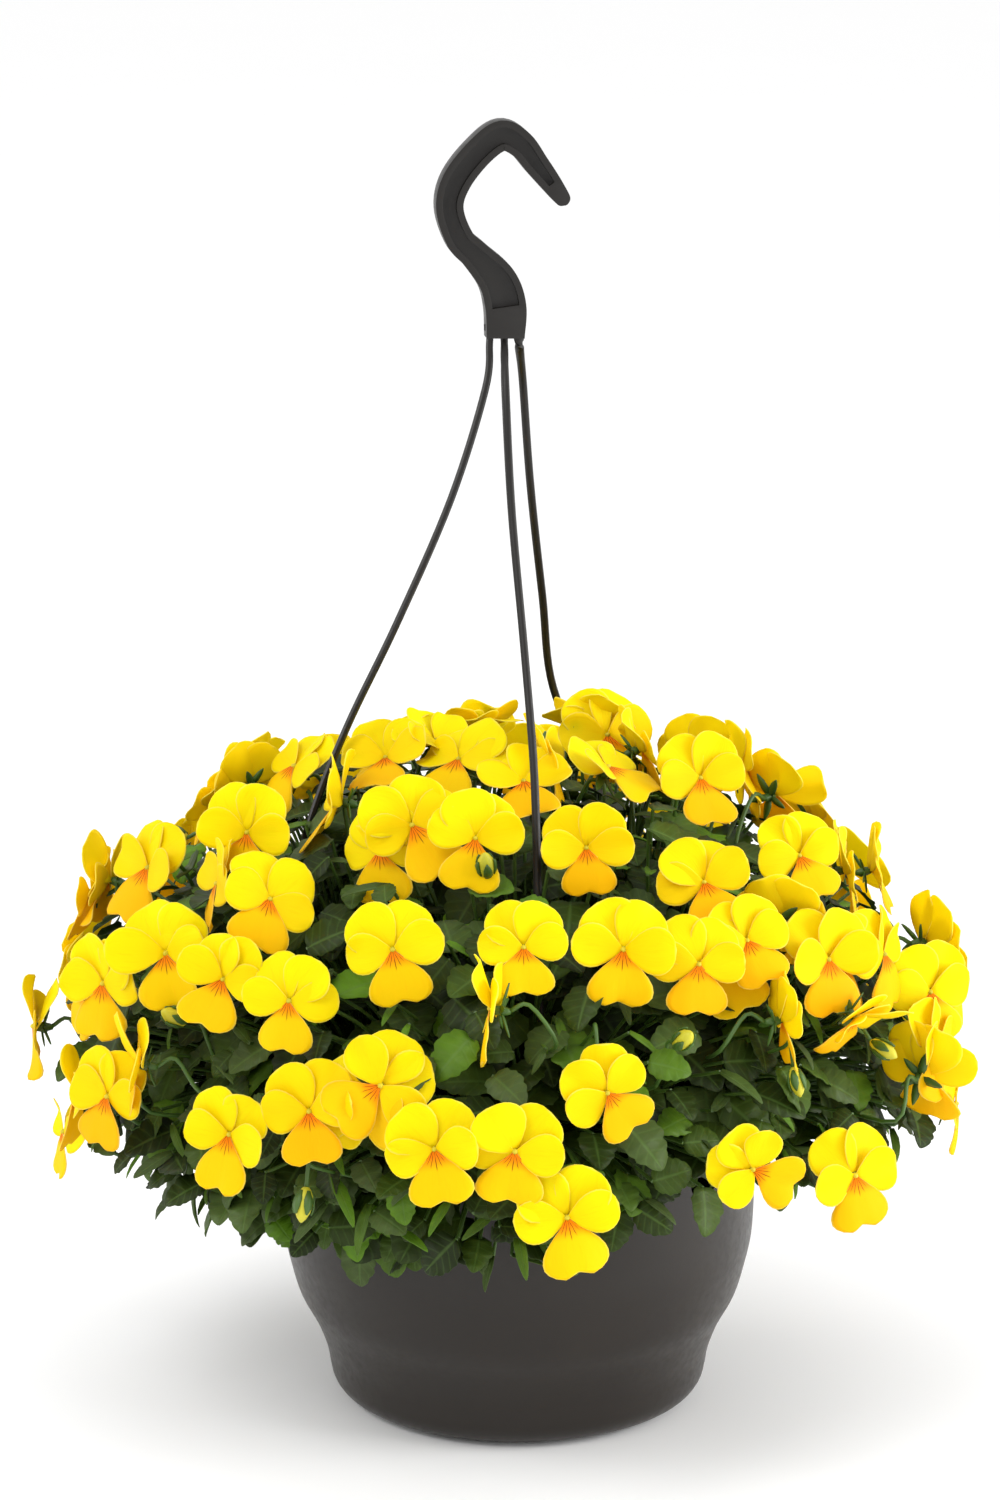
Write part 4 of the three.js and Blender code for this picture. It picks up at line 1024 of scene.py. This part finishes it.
def stalk_tree(material):
    """Every edge line of a mesh becomes a thin closed stalk."""
    tree = bpy.data.node_groups.new("leaf stalks", "GeometryNodeTree")
    tree.interface.new_socket("Lines", in_out="INPUT", socket_type="NodeSocketGeometry")
    tree.interface.new_socket("Radius", in_out="INPUT", socket_type="NodeSocketFloat").default_value = 0.0009
    tree.interface.new_socket("Result", in_out="OUTPUT", socket_type="NodeSocketGeometry")
    given = add(tree, "NodeGroupInput")
    curve = add(tree, "GeometryNodeMeshToCurve", {"Mesh": given.outputs["Lines"]})
    ring = add(tree, "GeometryNodeCurvePrimitiveCircle", {"Resolution": 5, "Radius": given.outputs["Radius"]})
    solid = add(tree, "GeometryNodeCurveToMesh", {
        "Curve": curve.outputs[0], "Profile Curve": ring.outputs[0], "Fill Caps": True})
    real = add(tree, "GeometryNodeRealizeInstances", {"Geometry": solid.outputs[0]})
    coated = add(tree, "GeometryNodeSetMaterial", {"Geometry": real.outputs[0], "Material": material})
    add(tree, "NodeGroupOutput", {"Result": coated.outputs[0]})
    return tree


stalks_from_lines = stalk_tree(stem_skin)
for k in range(PLANT_COUNT):
    node = f"viola_plant_{k + 1}_stems_and_leaves"
    outer = scattered(f"viola_plant_{k + 1}_outer_leaves", scalloped_leaf, leaf_spots[k][scalloped_leaf],
                      leaf_skin, leaf_tree)
    inner = scattered(f"viola_plant_{k + 1}_inner_leaves", plain_leaf, leaf_spots[k][plain_leaf],
                      leaf_skin, leaf_tree)
    young = scattered(f"viola_plant_{k + 1}_narrow_leaves", narrow_leaf, leaf_spots[k][narrow_leaf],
                      leaf_skin, leaf_tree)
    points, edges = [], []
    crown = place(360 / PLANT_COUNT * k, CROWN_CIRCLE, SOIL_TOP - 2)
    dice = random.Random(50 + k)
    for spot, _, _, _ in [spot for spots in leaf_spots[k].values() for spot in spots]:
        low = crown + Vector((dice.uniform(-9, 9), dice.uniform(-9, 9), 0)) / 1000
        middle = low.lerp(spot, 0.5)
        over_rim = math.hypot(spot.x - POT_X, spot.y) > 0.11 and spot.z < BASE_Z + 0.19
        middle.z = BASE_Z + (POT_HEIGHT + 26) / 1000 if over_rim else middle.z + 0.012
        path = smooth_path([low, middle, middle.lerp(spot, 0.6) + Vector((0, 0, 0.004)), spot], 3)
        edges += [(len(points) + i, len(points) + i + 1) for i in range(len(path) - 1)]
        points += path
    mesh = bpy.data.meshes.new("stalk lines")
    mesh.from_pydata([tuple(p) for p in points], edges, [])
    stalks = bpy.data.objects.new(f"viola_plant_{k + 1}_leaf_stalks", mesh)
    bpy.context.scene.collection.objects.link(stalks)
    stalks.modifiers.new("stalks", "NODES").node_group = stalks_from_lines
    applied(stalks)
    stalks.data.shade_smooth()
    for piece in (outer, inner, young, stalks):
        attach(piece, "root")
    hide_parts(node)
for shape in (scalloped_leaf, plain_leaf, narrow_leaf):
    bpy.data.objects.remove(shape)


# ---------------------------------------------------------------------------------------------
# Studio. A plain white floor, a white surround, two large soft lamps, and the camera 2.5 m in
# front of the pot's rim, looking down on it by 18 degrees.
# ---------------------------------------------------------------------------------------------
FLOOR_REACH, FLOOR_Z = 16, BASE_Z - 0.0005
floor = new_object("studio_floor", [(-FLOOR_REACH, -FLOOR_REACH, FLOOR_Z), (FLOOR_REACH, -FLOOR_REACH, FLOOR_Z),
                                    (FLOOR_REACH, FLOOR_REACH, FLOOR_Z), (-FLOOR_REACH, FLOOR_REACH, FLOOR_Z)],
                   [(0, 1, 2, 3)])
floor_paint, tree = new_material("studio_floor_white_paint")
cloud = add(tree, "ShaderNodeTexNoise", {"Vector": add(tree, "ShaderNodeTexCoord").outputs["Object"], "Scale": 3.0})
tone = add(tree, "ShaderNodeMix", {0: cloud.outputs[0], 6: colour("#fcfcfc"), 7: colour("#fdfdfd")}, data_type="RGBA")
paint = add(tree, "ShaderNodeBsdfPrincipled", {"Base Color": tone.outputs[2], "Roughness": 0.9})
add(tree, "ShaderNodeOutputMaterial", {"Surface": paint.outputs[0]})
floor.data.materials.append(floor_paint)

world = bpy.data.worlds.new("white studio surround")
world.use_nodes = True
world.node_tree.nodes.clear()
seen = add(world.node_tree, "ShaderNodeLightPath").outputs["Is Camera Ray"]
strength = add(world.node_tree, "ShaderNodeMapRange", {0: seen, 1: 0.0, 2: 1.0, 3: 1.0, 4: 1.0})
white = add(world.node_tree, "ShaderNodeBackground", {"Color": (1, 1, 1, 1), "Strength": strength.outputs[0]})
add(world.node_tree, "ShaderNodeOutputWorld", {"Surface": white.outputs[0]})
bpy.context.scene.world = world
bpy.context.scene.view_settings.view_transform = "Standard"


def soft_lamp(name, spot, size, watts):
    lamp = bpy.data.lights.new(name, "AREA")
    lamp.shape, lamp.size, lamp.energy = "SQUARE", size, watts
    made = bpy.data.objects.new(name, lamp)
    made.location = spot
    made.rotation_euler = (Vector((0, 0, BASE_Z + 0.2)) - Vector(spot)).to_track_quat("-Z", "Y").to_euler()
    bpy.context.scene.collection.objects.link(made)


soft_lamp("key softbox", (-1.5, -2.0, 2.2), 1.4, 44)
soft_lamp("right softbox", (1.9, -0.5, 0.1), 1.2, 34)
soft_lamp("left softbox", (-1.9, 0.3, 0.0), 0.8, 8)

VIEW_DISTANCE, LOOK_DOWN, CAMERA_DIP, CAMERA_YAW = 2.5, 18.0, 13.92, 0.21
FOCAL_LENGTH, SENSOR = 123.6, 36.0
lens = bpy.data.cameras.new("camera")
lens.lens, lens.sensor_width = FOCAL_LENGTH, SENSOR
camera = bpy.data.objects.new("camera", lens)
rise = math.radians(LOOK_DOWN)
camera.location = (POT_X, -VIEW_DISTANCE * math.cos(rise), pot_high.z + VIEW_DISTANCE * math.sin(rise))
camera.rotation_euler = (math.radians(90 - CAMERA_DIP), 0, math.radians(CAMERA_YAW))
bpy.context.scene.collection.objects.link(camera)
bpy.context.scene.camera = camera
